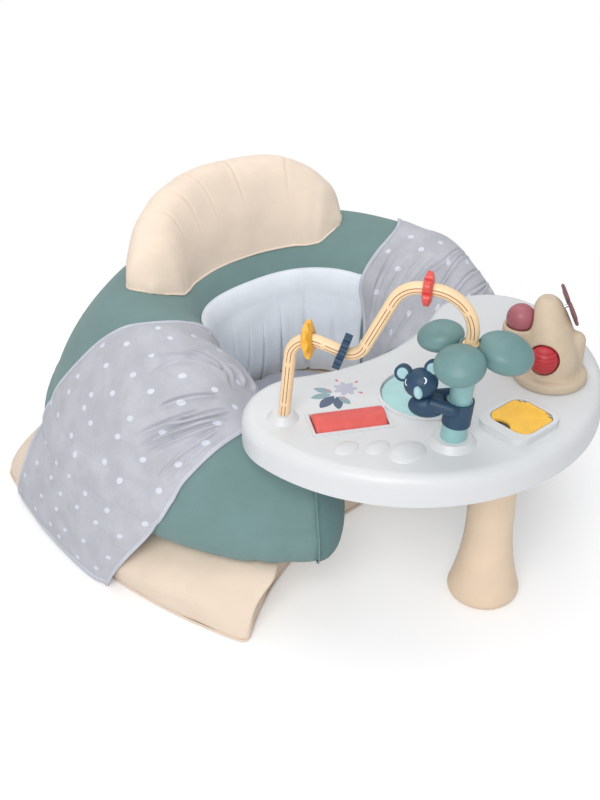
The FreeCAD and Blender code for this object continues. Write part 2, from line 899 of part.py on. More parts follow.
def make_tray_top():
    low = tray_top_z - tray_height
    cavity_top = tray_top_z - tray_wall
    shell = tray_block(0.0, low, tray_top_z, tray_edge_radius)
    shell = shell.cut(tray_block(tray_wall, low - overrun, cavity_top, tray_edge_radius - tray_wall))

    disc_floor = tray_top_z - disc_recess_depth
    disc_wall = cylinder(
        disc_recess_radius + pocket_wall, disc_recess_depth, V(disc_x, disc_y, disc_floor - pocket_wall))
    disc_rim = cylinder(
        disc_recess_radius + disc_rim_width, tray_wall + disc_rim_height, V(disc_x, disc_y, cavity_top))
    roller_floor = roller_z() - roller_radius - roller_side_gap
    slot_length = roller_length + 2 * roller_side_gap
    slot_width = 2 * math.sqrt(roller_radius ** 2 - roller_sink ** 2) + 2 * roller_side_gap
    well_width = 2 * (roller_radius + roller_side_gap)
    roller_wall = roller_box(
        slot_length + 2 * pocket_wall, well_width + 2 * pocket_wall, roller_floor - pocket_wall,
        cavity_top + overrun)
    roller_rim = roller_box(
        slot_length + 2 * roller_rim_width, slot_width + 2 * roller_rim_width, cavity_top,
        tray_top_z + roller_rim_height)
    bezel = rounded_box(bezel_length_x, bezel_length_y, bezel_height + tray_wall, bezel_corner_radius)
    bezel.translate(V(bezel_x, bezel_y, cavity_top))
    pocket_top = tray_top_z + bezel_height
    pocket_floor = pocket_top - flap_pocket_depth
    flap_wall = bezel_pocket(pocket_wall, pocket_floor - pocket_wall, pocket_top - pocket_wall)
    for piece in (disc_wall, disc_rim, roller_wall, roller_rim, bezel, flap_wall):
        shell = shell.fuse(piece)
    shell = shell.fuse(cone_boss(post_x, post_y, post_boss_radius, post_boss_top_radius, post_boss_height))
    shell = shell.fuse(
        cone_boss(trunk_x, trunk_y, trunk_boss_radius, trunk_boss_top_radius, trunk_boss_height))
    for x, y, half_x, half_y, height in pebble_shares:
        pebble = ellipsoid(half_x * tray_lobe_x, half_y * tray_lobe_x, height * tray_lobe_x)
        pebble.translate(V(x * tray_lobe_x, y * tray_front_y, tray_top_z - tray_wall / 2))
        shell = shell.fuse(pebble)
    for x, y in tray_screw_places():
        boss_low = low + tray_bottom_recess + tray_bottom_wall + rigid_gap
        shell = shell.fuse(cylinder(tray_boss_radius, cavity_top + overrun / 2 - boss_low, V(x, y, boss_low)))

    axis = trunk_axis()
    holes = [
        cylinder(
            disc_recess_radius, disc_recess_depth + disc_rim_height + overrun, V(disc_x, disc_y, disc_floor)),
        roller_box(slot_length, well_width, roller_floor, cavity_top),
        roller_box(slot_length, slot_width, roller_floor, tray_top_z + roller_rim_height + overrun),
        bezel_pocket(0.0, pocket_floor, pocket_top + overrun),
        rail_socket(),
        cylinder(trunk_collar_radius + running_gap, trunk_insert + 2 * post_boss_height,
                 trunk_point(-trunk_insert), axis),
        roller_axle(running_gap),
        flap_pin(running_gap),
        cylinder(disc_pin_radius + running_gap, disc_recess_depth + 2 * overrun,
                 V(disc_x, disc_y, disc_floor - disc_recess_depth)),
    ]
    for hole in holes:
        shell = shell.cut(hole)
    for x, y in tray_screw_places():
        depth = tray_bottom_recess + tray_screw_length + overrun
        shell = shell.cut(cylinder(tray_screw_radius + running_gap, depth, V(x, y, low)))
    parts["tray_top"] = shell


def tray_screw_places():
    places = []
    for u, v in tray_screw_shares:
        for side in (-1, 1):
            places.append((side * u * tray_lobe_x, v * tray_front_y))
    return places


def make_tray_bottom():
    low = tray_top_z - tray_height + tray_bottom_recess
    plate = tray_block(tray_wall + rigid_gap, low, low + tray_bottom_wall, 0.0)
    seat_radius = leg_top_radius + running_gap
    cup_height = leg_insert + tray_bottom_recess
    cup_low = tray_top_z - tray_height
    cup = cylinder(seat_radius + leg_socket_wall, cup_height, V(0, leg_y, cup_low))
    plate = plate.fuse(cup)
    inside = cup_height - leg_socket_wall
    plate = plate.cut(cylinder(seat_radius, inside + overrun, V(0, leg_y, cup_low - overrun)))
    plate = plate.cut(cylinder(leg_screw_radius + running_gap, cup_height + overrun, V(0, leg_y, cup_low)))
    for x, y in tray_screw_places():
        plate = plate.cut(cylinder(tray_screw_radius + running_gap, tray_bottom_wall + 2 * overrun,
                                   V(x, y, low - overrun)))
    parts["tray_bottom"] = plate

    screws = []
    for x, y in tray_screw_places():
        head = cylinder(tray_screw_head_radius, tray_screw_head_height, V(x, y, low - tray_screw_head_height))
        screws.append(head.fuse(cylinder(tray_screw_radius, tray_screw_length, V(x, y, low))))
    parts["tray_screws"] = Part.makeCompound(screws)

    leg_top = cup_low + inside
    profile = [
        V(0, 0, 0),
        V(leg_foot_radius - leg_foot_height / 2, 0, 0),
        V(leg_foot_radius, 0, leg_foot_height),
        V(leg_neck_radius, 0, leg_neck_height),
        V(leg_top_radius, 0, cup_low - strap_thickness),
        V(leg_top_radius, 0, leg_top),
        V(0, 0, leg_top),
    ]
    toe_middle = V(leg_foot_radius - leg_toe_inset, 0, leg_toe_height)
    flare_r = leg_neck_radius + (leg_foot_radius - leg_neck_radius) * leg_flare_share
    flare_middle = V(flare_r, 0, leg_foot_height + (leg_neck_height - leg_foot_height) * leg_flare_share)
    waist = V(leg_neck_radius, 0, (leg_neck_height + cup_low) / 2)
    wire = Part.Wire([
        line(profile[0], profile[1]),
        Part.Arc(profile[1], toe_middle, profile[2]).toShape(),
        Part.Arc(profile[2], flare_middle, profile[3]).toShape(),
        Part.Arc(profile[3], waist, profile[4]).toShape(),
        line(profile[4], profile[5]),
        line(profile[5], profile[6]),
        line(profile[6], profile[0]),
    ])
    leg = Part.Face(wire).revolve(V(0, 0, 0), UP, 2 * HALF_TURN)
    leg.translate(V(0, leg_y, 0))
    screw_low = leg_top - leg_screw_length + leg_socket_wall
    leg = leg.cut(cylinder(leg_screw_radius + running_gap, leg_screw_length + overrun, V(0, leg_y, screw_low)))
    parts["table_leg"] = leg
    shank = cylinder(leg_screw_radius, leg_screw_length, V(0, leg_y, screw_low))
    head = cylinder(leg_screw_head_radius, leg_screw_head_height, V(0, leg_y, cup_low + cup_height))
    parts["leg_screw"] = shank.fuse(head)


def make_strap():
    """A short dark web that hangs in a shallow loop from the table's underside."""
    top = tray_top_z - tray_height + tray_bottom_recess - running_gap
    half = strap_span / 2
    start = half - strap_pad_length
    bottom = top - strap_sag - tray_bottom_recess

    def edge(drop):
        return [
            V(-half, 0, top - drop), V(-start, 0, top - drop), V(0, 0, bottom - drop),
            V(start, 0, top - drop), V(half, 0, top - drop),
        ]

    upper = edge(0.0)
    lower = edge(strap_thickness)
    wire = Part.Wire([
        line(upper[0], upper[1]),
        Part.Arc(upper[1], upper[2], upper[3]).toShape(),
        line(upper[3], upper[4]),
        line(upper[4], lower[4]),
        line(lower[4], lower[3]),
        Part.Arc(lower[3], lower[2], lower[1]).toShape(),
        line(lower[1], lower[0]),
        line(lower[0], upper[0]),
    ])
    web = Part.Face(wire).extrude(V(0, strap_width, 0))
    web.translate(V(0, -strap_width / 2, 0))
    parts["tray_strap"] = placed(web, V(strap_x, strap_y, 0), FreeCAD.Rotation(UP, strap_turn))


# Bead rail

def rail_frame():
    """Foot of the rail, unit direction of its plane, span, and its end on the palm's hub."""
    foot = V(post_x, post_y, tray_top_z)
    end = trunk_point(crown_height - rail_end_sink)
    run = V(end.x - foot.x, end.y - foot.y, 0)
    return foot, run * (1.0 / run.Length), run.Length, end


def rail_place(span_share, rise_share):
    foot, way, span, _ = rail_frame()
    return foot + way * (span_share * span) + UP * (rise_share * rail_rise)


def rail_path():
    """Straight runs joined by tangent arcs, and the arcs' ends for the beads."""
    foot, way, span, end = rail_frame()
    corners = [rail_place(*share) for share in rail_corner_shares]
    points = [foot - UP * rail_insert] + corners + [end]
    edges = []
    bends = []
    last = points[0]
    for i, radius in enumerate(rail_corner_radii):
        corner = points[i + 1]
        before = (points[i] - corner).normalize()
        after = (points[i + 2] - corner).normalize()
        half_angle = before.getAngle(after) / 2
        reach = radius / math.tan(half_angle)
        first = corner + before * reach
        second = corner + after * reach
        bisector = (before + after).normalize()
        centre = corner + bisector * (radius / math.sin(half_angle))
        middle = centre - bisector * radius
        edges.append(line(last, first))
        edges.append(Part.Arc(first, middle, second).toShape())
        bends.append((first, middle, second, centre))
        last = second
    edges.append(line(last, points[-1]))
    return Part.Wire(edges), bends


def rail_socket():
    """The hole that the rail's post stands in, along the post's own direction."""
    foot = rail_frame()[0] - UP * rail_insert
    way = rail_place(*rail_corner_shares[0]) - foot
    return cylinder(rail_radius + running_gap, rail_insert + post_boss_height + overrun, foot, way)


def rail_solid(radius):
    path, _ = rail_path()
    foot = path.Edges[0].Vertexes[0].Point
    way = path.Edges[0].tangentAt(path.Edges[0].FirstParameter)
    profile = Part.Wire(Part.makeCircle(radius, foot, way))
    return path.makePipeShell([profile], True, True)


def bead_yellow_frame():
    """On the first bend: centre of the bead and the rail's direction there."""
    _, bends = rail_path()
    first, middle, second, centre = bends[0]
    share = bead_yellow_bend_share
    way = (middle - centre) * (1.0 - share) + (second - centre) * share
    spot = centre + way.normalize() * rail_corner_radii[0]
    out = spot - centre
    plane_normal = (first - centre).cross(second - centre).normalize()
    return spot, plane_normal.cross(out).normalize()


def bead_navy_frame():
    """At the low end of the straight run between the first two bends, pointing back up the run."""
    _, bends = rail_path()
    low = bends[1][0]
    way = (bends[0][2] - low).normalize()
    return low + way * (bead_navy_thickness / 4), way


def bead_red_frame():
    _, bends = rail_path()
    low = bends[2][2]
    high = bends[3][0]
    way = (high - low).normalize()
    return low + (high - low) * (1.0 - bead_red_share), way


def lens(radius, thickness, hub_share):
    """A disc that thins towards its rim, centred, axis along Z."""
    half = thickness / 2
    rim = half * bead_rim_share
    hub = radius * hub_share
    wire = Part.makePolygon([
        V(0, 0, -half), V(hub, 0, -half), V(radius, 0, -rim), V(radius, 0, rim), V(hub, 0, half), V(0, 0, half),
        V(0, 0, -half),
    ])
    return Part.Face(wire).revolve(V(0, 0, 0), UP, 2 * HALF_TURN)


def star_prism(radius, dip, points, height):
    corners = []
    for i in range(2 * points):
        corners.append(polar(radius if i % 2 == 0 else dip, i * HALF_TURN / points, -height / 2))
    return Part.Face(Part.makePolygon(corners + corners[:1])).extrude(V(0, 0, height))


def set_bead(shape, spot, way, play=bead_play):
    bore = cylinder(rail_radius + play, 4 * bead_yellow_thickness, V(0, 0, -2 * bead_yellow_thickness))
    return placed(shape.cut(bore), spot, upright_to(way))


def make_beads():
    spot, way = bead_yellow_frame()
    star = lens(bead_yellow_radius, bead_yellow_thickness, bead_yellow_hub_share)
    star = star.common(star_prism(
        bead_yellow_radius + overrun, bead_yellow_radius * bead_yellow_dip_share, bead_yellow_points,
        bead_yellow_thickness))
    parts["bead_yellow"] = set_bead(star, spot, way, bead_bend_play)

    spot, way = bead_navy_frame()
    reach = bead_navy_radius - bead_navy_knob_radius
    wheel = cylinder(reach, bead_navy_thickness, V(0, 0, -bead_navy_thickness / 2))
    for i in range(bead_navy_knobs):
        seat = polar(reach, i * 2 * HALF_TURN / bead_navy_knobs, -bead_navy_thickness / 2)
        wheel = wheel.fuse(cylinder(bead_navy_knob_radius, bead_navy_thickness, seat))
    parts["bead_navy"] = set_bead(wheel, spot, way)

    spot, way = bead_red_frame()
    petal_radius = bead_red_radius * bead_red_petal_share
    reach = bead_red_radius - petal_radius
    flower = cylinder(reach, bead_red_thickness, V(0, 0, -bead_red_thickness / 2))
    for i in range(bead_red_petals):
        seat = polar(reach, i * 2 * HALF_TURN / bead_red_petals, -bead_red_thickness / 2)
        flower = flower.fuse(cylinder(petal_radius, bead_red_thickness, seat))
    flower = flower.common(lens(bead_red_radius + overrun, bead_red_thickness, bead_red_hub_share))
    parts["bead_red"] = set_bead(flower, spot, way)


def make_rail():
    rail = rail_solid(rail_radius)
    seat = trunk_point(crown_height) - UP * rail_flange_height
    parts["bead_rail"] = rail.cut(cylinder(rail_flange_radius, rail_flange_height, seat))
    parts["rail_flange"] = Part.makeCone(rail_flange_radius, rail_radius + overrun, rail_flange_height, seat)


# Palm

def make_palm():
    axis = trunk_axis()
    collar = cylinder(trunk_collar_radius, trunk_insert + trunk_collar_height, trunk_point(-trunk_insert), axis)
    bore = cylinder(trunk_radius + running_gap, trunk_insert + trunk_collar_height + 2 * overrun,
                    trunk_point(-trunk_insert - overrun), axis)
    parts["trunk_collar"] = collar.cut(bore)
    trunk_top = crown_height - hub_height
    parts["palm_trunk"] = cylinder(trunk_radius, trunk_insert + trunk_top, trunk_point(-trunk_insert), axis)

    hub = Part.makeCone(hub_radius, rail_flange_radius + overrun, hub_height, trunk_point(trunk_top), axis)
    seat = cylinder(rail_flange_radius + running_gap, 2 * rail_flange_height,
                    trunk_point(crown_height) - UP * (rail_flange_height + running_gap))
    hub = hub.cut(seat)
    parts["leaf_hub"] = hub
    top = trunk_point(crown_height)
    taken = []
    for i, (turn_share, reach_share, drop_share, size_share) in enumerate(leaf_shares):
        angle = turn_share * 2 * HALF_TURN
        leaf = oval(leaf_radius * size_share, leaf_half_thickness * size_share)
        turn = FreeCAD.Rotation(UP, angle).multiply(FreeCAD.Rotation(V(0, 1, 0), leaf_droop))
        centre = V(top.x, top.y, top.z - leaf_drop * drop_share) + polar(leaf_reach * reach_share, angle)
        leaf = placed(leaf, centre, turn)
        leaf = leaf.cut(cylinder(rail_flange_radius + 2 * rigid_gap, 4 * hub_height,
                                 top - UP * (2 * hub_height)))
        leaf = leaf.cut(hub)
        leaf = leaf.cut(cylinder(trunk_radius + rigid_gap, crown_height, trunk_point(0), axis))
        for other in taken:
            leaf = leaf.cut(other)
        leaf = max(leaf.Solids, key=lambda s: s.Volume)
        taken.append(leaf)
        parts[f"leaf_{i + 1}"] = leaf


# Koala

def koala_frame(reach, height, side=0.0):
    foot = trunk_point(height)
    return foot + polar(reach, koala_angle) + polar(side, koala_angle + QUARTER_TURN)


def make_koala():
    axis = trunk_axis()
    low = trunk_point(trunk_collar_height + rigid_gap)
    inside = trunk_radius + 2 * running_gap
    liner = tube(inside + liner_wall, inside, sleeve_length, low, axis)
    flange = tube(sleeve_radius - liner_wall, inside, liner_flange_height, low, axis)
    parts["koala_liner"] = liner.fuse(flange)
    sleeve_low = trunk_point(trunk_collar_height + 2 * rigid_gap + liner_flange_height)
    bore = trunk_radius + liner_wall + 3 * running_gap
    length = sleeve_length - liner_flange_height - rigid_gap
    sleeve = tube(sleeve_radius, bore, length, sleeve_low, axis)
    parts["koala_sleeve"] = sleeve

    body_centre = koala_frame(koala_body_reach, koala_body_height)
    body = placed(ellipsoid(koala_body_half_width, koala_body_half_height, koala_body_half_height), body_centre,
                  FreeCAD.Rotation(UP, koala_angle))
    for side in (-1, 1):
        hand = koala_frame(
            sleeve_radius * koala_hand_share, koala_body_height + koala_arm_radius / 2, side * sleeve_radius)
        arm = Part.makeSphere(koala_arm_radius, hand)
        shoulder = koala_frame(koala_body_reach, koala_body_height + koala_arm_radius, side * koala_arm_radius)
        reach = hand - shoulder
        arm = arm.fuse(cylinder(koala_arm_radius, reach.Length, shoulder, reach))
        body = body.fuse(arm)
    clear = cylinder(sleeve_radius, 2 * sleeve_length, trunk_point(0), axis)
    body = body.cut(clear)
    body = max(body.Solids, key=lambda s: s.Volume)

    head_centre = koala_frame(koala_head_reach, koala_head_height)
    face = FreeCAD.Rotation(UP, koala_face_angle).multiply(FreeCAD.Rotation(V(1, 0, 0), -koala_face_raise))
    lean = face.multiply(FreeCAD.Rotation(V(0, 1, 0), -koala_head_tilt))
    depth = koala_head_radius * koala_head_depth_share
    head = placed(ellipsoid(koala_head_radius, depth, depth), head_centre, lean)
    head = head.cut(clear)
    body = body.cut(head)
    parts["koala_body"] = max(body.Solids, key=lambda s: s.Volume)
    ears = []
    linings = []
    for side in (-1, 1):
        angle = QUARTER_TURN + side * koala_ear_angle
        reach = koala_head_radius + koala_ear_radius / 3
        spot = V(reach * math.cos(math.radians(angle)), 0, reach * math.sin(math.radians(angle)))
        back = V(spot.x, koala_ear_thickness / 2, spot.z)
        dip = V(spot.x, koala_ear_thickness / 3 - koala_ear_thickness / 2, spot.z)
        ear = cylinder(koala_ear_radius, koala_ear_thickness, back, V(0, -1, 0))
        lining = cylinder(koala_ear_radius * koala_inner_ear_share, koala_ear_thickness / 3, dip, V(0, -1, 0))
        ear = placed(ear.cut(lining), head_centre, lean)
        ears.append(ear.cut(head))
        linings.append(placed(lining, head_centre, lean).cut(head))
    nose = ellipsoid(koala_nose_half_width, koala_nose_half_width, koala_nose_half_height)
    nose = placed(nose, head_centre + lean.multVec(V(0, -depth, -koala_head_radius / 3)), lean)
    parts["koala_nose"] = nose.cut(head)
    parts["koala_head"] = head
    parts["koala_ears"] = Part.makeCompound(ears)
    parts["koala_inner_ears"] = Part.makeCompound(linings)


# Disc

def make_disc():
    floor = tray_top_z - disc_recess_depth
    low = floor + rigid_gap
    radius = disc_recess_radius - 2 * flap_gap
    disc = cylinder(radius, disc_thickness, V(disc_x, disc_y, low))
    rim = [e for e in disc.Edges if e.Closed and e.Vertexes[0].Z > low]
    disc = disc.makeFillet(disc_thickness / 4, rim)
    disc = disc.cut(cylinder(disc_pin_radius + running_gap, disc_thickness + 2 * overrun,
                             V(disc_x, disc_y, low - overrun)))
    spot = V(disc_x, disc_y, low + disc_thickness - disc_window_thickness)
    spot = spot + polar(disc_window_reach, disc_window_angle)
    window = cylinder(disc_window_radius, disc_window_thickness, spot)
    parts["spin_disc"] = disc.cut(cylinder(disc_window_radius + running_gap, disc_thickness, spot))
    parts["disc_window"] = window
    pin = cylinder(disc_pin_radius, disc_recess_depth + disc_thickness + 2 * rigid_gap,
                   V(disc_x, disc_y, floor - disc_recess_depth))
    cap_low = low + disc_thickness + rigid_gap
    cap = cylinder(disc_pin_head_radius, disc_pin_head_height, V(disc_x, disc_y, cap_low))
    parts["disc_pin"] = pin.fuse(cap)


# Roller

def roller_axle(grow):
    axis = roller_axis()
    length = roller_length + 2 * (roller_side_gap + pocket_wall + grow - 2 * running_gap)
    start = V(roller_x, roller_y, roller_z()) - axis * (length / 2)
    return cylinder(roller_axle_radius + grow, length, start, axis)


def make_roller():
    axis = roller_axis()
    start = V(roller_x, roller_y, roller_z()) - axis * (roller_length / 2)
    drum = cylinder(roller_radius, roller_length, start, axis)
    drum = drum.makeFillet(roller_edge_radius, [e for e in drum.Edges if e.Closed])
    drum = drum.cut(cylinder(roller_axle_radius + running_gap, roller_length + 2 * overrun,
                             start - axis * overrun, axis))
    parts["roller_drum"] = drum
    parts["roller_axle"] = roller_axle(0.0)


# Flap

def flap_pin(grow):
    length = flap_size + 2 * flap_gap + 2 * flap_pin_seat + 2 * grow
    start = V(flap_hinge_x(), bezel_y - length / 2, flap_plane_z())
    return cylinder(flap_pin_radius + grow, length, start, V(0, 1, 0))


def make_flap():
    z = flap_plane_z()
    plate = rounded_box(flap_size, flap_size, flap_thickness, flap_corner_radius)
    plate.translate(V(flap_x, bezel_y, z - flap_thickness / 2))
    barrel_length = flap_size - 2 * flap_corner_radius
    barrel_end = V(flap_hinge_x(), bezel_y - barrel_length / 2, z)
    barrel = cylinder(flap_barrel_radius, barrel_length, barrel_end, V(0, 1, 0))
    ear_gap = flap_barrel_radius + rigid_gap
    trim = Part.makeBox(
        2 * flap_barrel_radius + overrun, flap_size + 2 * overrun, flap_thickness + 2 * overrun,
        V(flap_hinge_x(), bezel_y - flap_size / 2 - overrun, z - flap_thickness / 2 - overrun))
    heel = Part.makeBox(flap_heel_reach, flap_size, flap_thickness + 2 * overrun, V(
        flap_hinge_x() - flap_heel_reach, bezel_y + flap_heel_half_width, z - flap_thickness / 2 - overrun))
    other_heel = heel.copy()
    other_heel.translate(V(0, -2 * flap_heel_half_width - flap_size, 0))
    flap = plate.cut(trim).cut(heel).cut(other_heel).fuse(barrel)
    notch_x = flap_x - flap_size / 2 - flap_notch_reach
    notch = cylinder(flap_notch_radius, flap_thickness + 2 * overrun,
                     V(notch_x, bezel_y + flap_notch_offset, z - flap_thickness))
    flap = flap.cut(notch)
    bore = cylinder(flap_pin_radius + running_gap, flap_size + 2 * ear_gap,
                    V(flap_hinge_x(), bezel_y - flap_size / 2 - ear_gap, z), V(0, 1, 0))
    parts["flap"] = flap.cut(bore)
    parts["flap_pin"] = flap_pin(0.0)


# Mound

def mound_axis_point(lean, z):
    return V(mound_x + (mound_peak_x - mound_x) * lean, mound_y + (mound_peak_y - mound_y) * lean, z)


def ball_mauve_way():
    spot = V(ball_mauve_x, ball_mauve_y, 0)
    inner = mound_axis_point(mound_hill_shares[3][2], 0)
    return (spot - inner).normalize()


def butterfly_way():
    spot = V(butterfly_x, butterfly_y, 0)
    inner = mound_axis_point(mound_hill_shares[4][2], 0)
    return ((spot - inner).normalize() + UP * butterfly_rise_share).normalize()


def make_mound():
    dish = cylinder(mound_radius, mound_dish_height, V(mound_x, mound_y, tray_top_z))
    rim = [e for e in dish.Edges if e.Closed and e.Vertexes[0].Z > tray_top_z]
    dish = dish.makeFillet(mound_dish_height / 3, rim)
    wires = []
    for height, radius, lean in mound_hill_shares:
        spot = mound_axis_point(lean, tray_top_z + height * mound_height)
        wires.append(Part.Wire(Part.makeCircle(radius * mound_radius, spot, UP)))
    hill = solid_loft(wires)
    mound = dish.fuse(hill)
    limb_base = V(mound_limb_x, mound_limb_y, tray_top_z + mound_dish_height / 2)
    limb = cylinder(mound_limb_radius, mound_limb_height, limb_base)
    limb = limb.fuse(Part.makeSphere(mound_limb_radius, limb_base + UP * mound_limb_height))
    mound = mound.fuse(limb)
    lobe_base = V(ball_mauve_x, ball_mauve_y, tray_top_z)
    mound = mound.fuse(cylinder(mound_lobe_radius, mound_lobe_height, lobe_base))
    mauve = V(ball_mauve_x, ball_mauve_y, ball_mauve_z)
    red = V(ball_red_x, ball_red_y, ball_red_z)
    for centre in (mauve, red):
        mound = mound.cut(Part.makeSphere(ball_radius + ball_play, centre))
    way = ball_mauve_way()
    mauve_pin = cylinder(ball_pin_radius, ball_radius + ball_pin_seat + ball_play, mauve - way * (
        ball_radius + ball_pin_seat + ball_play), way)
    red_low = tray_top_z + mound_dish_height
    red_pin_length = red.z - red_low + ball_pin_seat
    red_pin = cylinder(ball_pin_radius, red_pin_length, V(red.x, red.y, red_low - ball_pin_seat))
    wing_way = butterfly_way()
    wing = V(butterfly_x, butterfly_y, butterfly_z)
    wing_pin = cylinder(butterfly_pin_radius, butterfly_pin_length, wing - wing_way * (
        butterfly_pin_length - butterfly_thickness / 2), wing_way)
    for pin, centre, axis, radius, length in (
        (mauve_pin, mauve, way, ball_pin_radius, ball_radius + ball_pin_seat + ball_play),
        (wing_pin, wing, wing_way, butterfly_pin_radius, butterfly_pin_length),
    ):
        mound = mound.cut(cylinder(radius + running_gap, length + running_gap, centre - axis * (
            length - (0.0 if pin is mauve_pin else butterfly_thickness / 2) + running_gap), axis))
    mound = mound.cut(cylinder(ball_pin_radius + running_gap, red_pin_length + running_gap,
                               V(red.x, red.y, red_low - ball_pin_seat - running_gap)))
    parts["mound"] = max(mound.Solids, key=lambda s: s.Volume)
    parts["ball_mauve_pin"] = mauve_pin
    parts["ball_red_pin"] = red_pin
    parts["butterfly_pin"] = wing_pin

    ball = Part.makeSphere(ball_radius, mauve)
    ball = ball.cut(cylinder(ball_pin_radius + running_gap, ball_radius + overrun + running_gap, mauve - way * (
        ball_radius + overrun), way))
    parts["ball_mauve"] = ball
    ribbed = Part.makeSphere(ball_radius, red)
    for i in range(ball_red_ribs):
        level = -1.0 + 2.0 * (i + 1) / (ball_red_ribs + 1)
        ring_radius = ball_radius * math.sqrt(1.0 - level ** 2)
        ribbed = ribbed.cut(Part.makeTorus(ring_radius, ball_rib_depth, red + UP * (level * ball_radius)))
    pin_clear = cylinder(ball_pin_radius + running_gap, ball_radius + overrun + ball_pin_seat + running_gap,
                         V(red.x, red.y, red.z - ball_radius - overrun))
    parts["ball_red"] = ribbed.cut(pin_clear)

    wing_shape = ellipsoid(butterfly_half_width / 2, butterfly_half_length / 2, butterfly_thickness)
    wings = []
    for side in (-1, 1):
        for end in (-1, 1):
            lobe = placed(wing_shape, V(side * butterfly_half_width / 2, end * butterfly_half_length / 2, 0))
            wings.append(lobe)
    body = ellipsoid(butterfly_thickness, butterfly_half_length * butterfly_body_share, butterfly_thickness)
    for lobe in wings:
        body = body.fuse(lobe)
    slab = Part.makeBox(4 * butterfly_half_width, 4 * butterfly_half_length, butterfly_thickness, V(
        -2 * butterfly_half_width, -2 * butterfly_half_length, -butterfly_thickness / 2))
    body = body.common(slab)
    body = body.cut(cylinder(butterfly_pin_radius + running_gap, 4 * butterfly_thickness,
                             V(0, 0, -2 * butterfly_thickness)))
    upright = FreeCAD.Rotation(wing_way, butterfly_turn).multiply(upright_to(wing_way))
    parts["butterfly"] = placed(body, wing, upright)


def main():
    make_base()
    make_ring()
    make_valves()
    make_headrest()
    make_backrest()
    make_seat_pad()
    make_bands()
    make_tray_top()
    make_tray_bottom()
    make_strap()
    make_rail()
    make_beads()
    make_palm()
    make_koala()
    make_disc()
    make_roller()
    make_flap()
    make_mound()
    os.makedirs("parts", exist_ok=True)
    for name, shape in parts.items():
        shape.exportStep(f"parts/{name}.step")


main()
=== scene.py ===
"""Baby activity seat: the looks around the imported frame.

Lengths are millimetres in the code and metres in every mesh. The table is on the -Y side, +Z is up.
"""

import math

import bmesh
import bpy
import numpy as np
from mathutils import Matrix, Vector


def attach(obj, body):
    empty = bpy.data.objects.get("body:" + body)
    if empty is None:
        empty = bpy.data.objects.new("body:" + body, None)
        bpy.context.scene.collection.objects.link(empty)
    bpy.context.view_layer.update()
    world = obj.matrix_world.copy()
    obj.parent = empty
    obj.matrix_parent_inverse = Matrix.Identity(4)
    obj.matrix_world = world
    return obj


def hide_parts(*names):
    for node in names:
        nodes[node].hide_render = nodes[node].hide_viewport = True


MM = 0.001
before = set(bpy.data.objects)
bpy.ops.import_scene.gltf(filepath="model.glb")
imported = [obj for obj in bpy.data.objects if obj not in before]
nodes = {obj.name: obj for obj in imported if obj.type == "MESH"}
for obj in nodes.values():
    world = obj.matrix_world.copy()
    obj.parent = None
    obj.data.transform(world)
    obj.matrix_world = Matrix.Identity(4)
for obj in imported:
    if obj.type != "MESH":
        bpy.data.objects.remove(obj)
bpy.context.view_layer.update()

# Sizes shared with the frame

base_high = 85.0
soft_gap = 0.4
ring_inner = 126.0
ring_outer = 368.0
ring_high = 230.0
ring_back_inset = 35.0
arm_end = 55.0
dome_depth = 45.0
ring_profile = (
    (0.793, 0.00), (0.990, 0.19), (0.934, 0.40), (0.810, 0.67), (0.636, 0.90), (0.459, 1.00),
    (0.230, 0.967), (0.075, 0.860), (0.006, 0.640), (0.000, 0.300), (0.040, 0.00),
)
arm_shares = (0.0, 0.16, 0.33, 0.45, 0.56, 0.64, 0.70, 0.77, 0.87, 1.0)
arm_heights = (1.0, 0.995, 0.970, 0.920, 0.820, 0.710, 0.655, 0.635, 0.620, 0.610)
pinch_shares = (0.0, 0.0, 0.0, 0.0, 0.018, 0.048, 0.096, 0.120, 0.090, 0.036, 0.0)
# Share of the height, then shares of the front corner, back corner, side, rear and front hollow
base_levels = (
    (0.00, 1.000, 1.000, 0.972, 0.975, 1.05),
    (0.25, 0.985, 0.985, 0.992, 0.995, 1.00),
    (0.50, 0.950, 0.950, 1.000, 1.000, 0.98),
    (0.78, 0.880, 0.880, 0.950, 0.960, 1.00),
    (1.00, 0.820, 0.820, 0.860, 0.900, 1.05),
)
front_corner = (304.0, 272.0)
back_corner = (350.0, 255.0)
base_side = (378.0, -30.0)
base_back = 338.0
base_front = 152.0
headrest_inner = 154.0
headrest_outer = 242.0
headrest_rise = 119.0
headrest_half = 62.8
headrest_sink = 9.0
headrest_profile = (
    (0.00, 0.00), (0.06, 0.42), (0.24, 0.80), (0.58, 1.00), (0.90, 0.74), (1.00, 0.34), (0.97, 0.00),
)
# Hems of the bands: share of the way from the floor over the arm into the well, angle in degrees
front_hem = (
    (0.0, -9.3), (0.032, -11.8), (0.064, -15.0), (0.096, -18.4), (0.127, -21.6), (0.159, -23.3),
    (0.191, -24.2), (0.255, -25.7), (0.287, -26.8), (0.318, -28.4), (0.382, -31.7), (0.446, -35.0),
    (0.478, -37.0), (0.541, -40.5), (0.605, -44.5), (0.669, -47.0), (0.764, -48.0), (1.0, -48.0),
)
back_hem = (
    (0.0, 28.7), (0.032, 26.1), (0.064, 24.2), (0.127, 24.0), (0.191, 23.3), (0.255, 22.7), (0.287, 21.4),
    (0.318, 19.4), (0.382, 15.8), (0.446, 12.6), (0.478, 10.3), (0.510, 8.0), (0.541, 4.0), (0.573, 0.5),
    (0.637, -2.0), (0.764, -3.5), (0.828, -8.0), (1.0, -12.0),
)
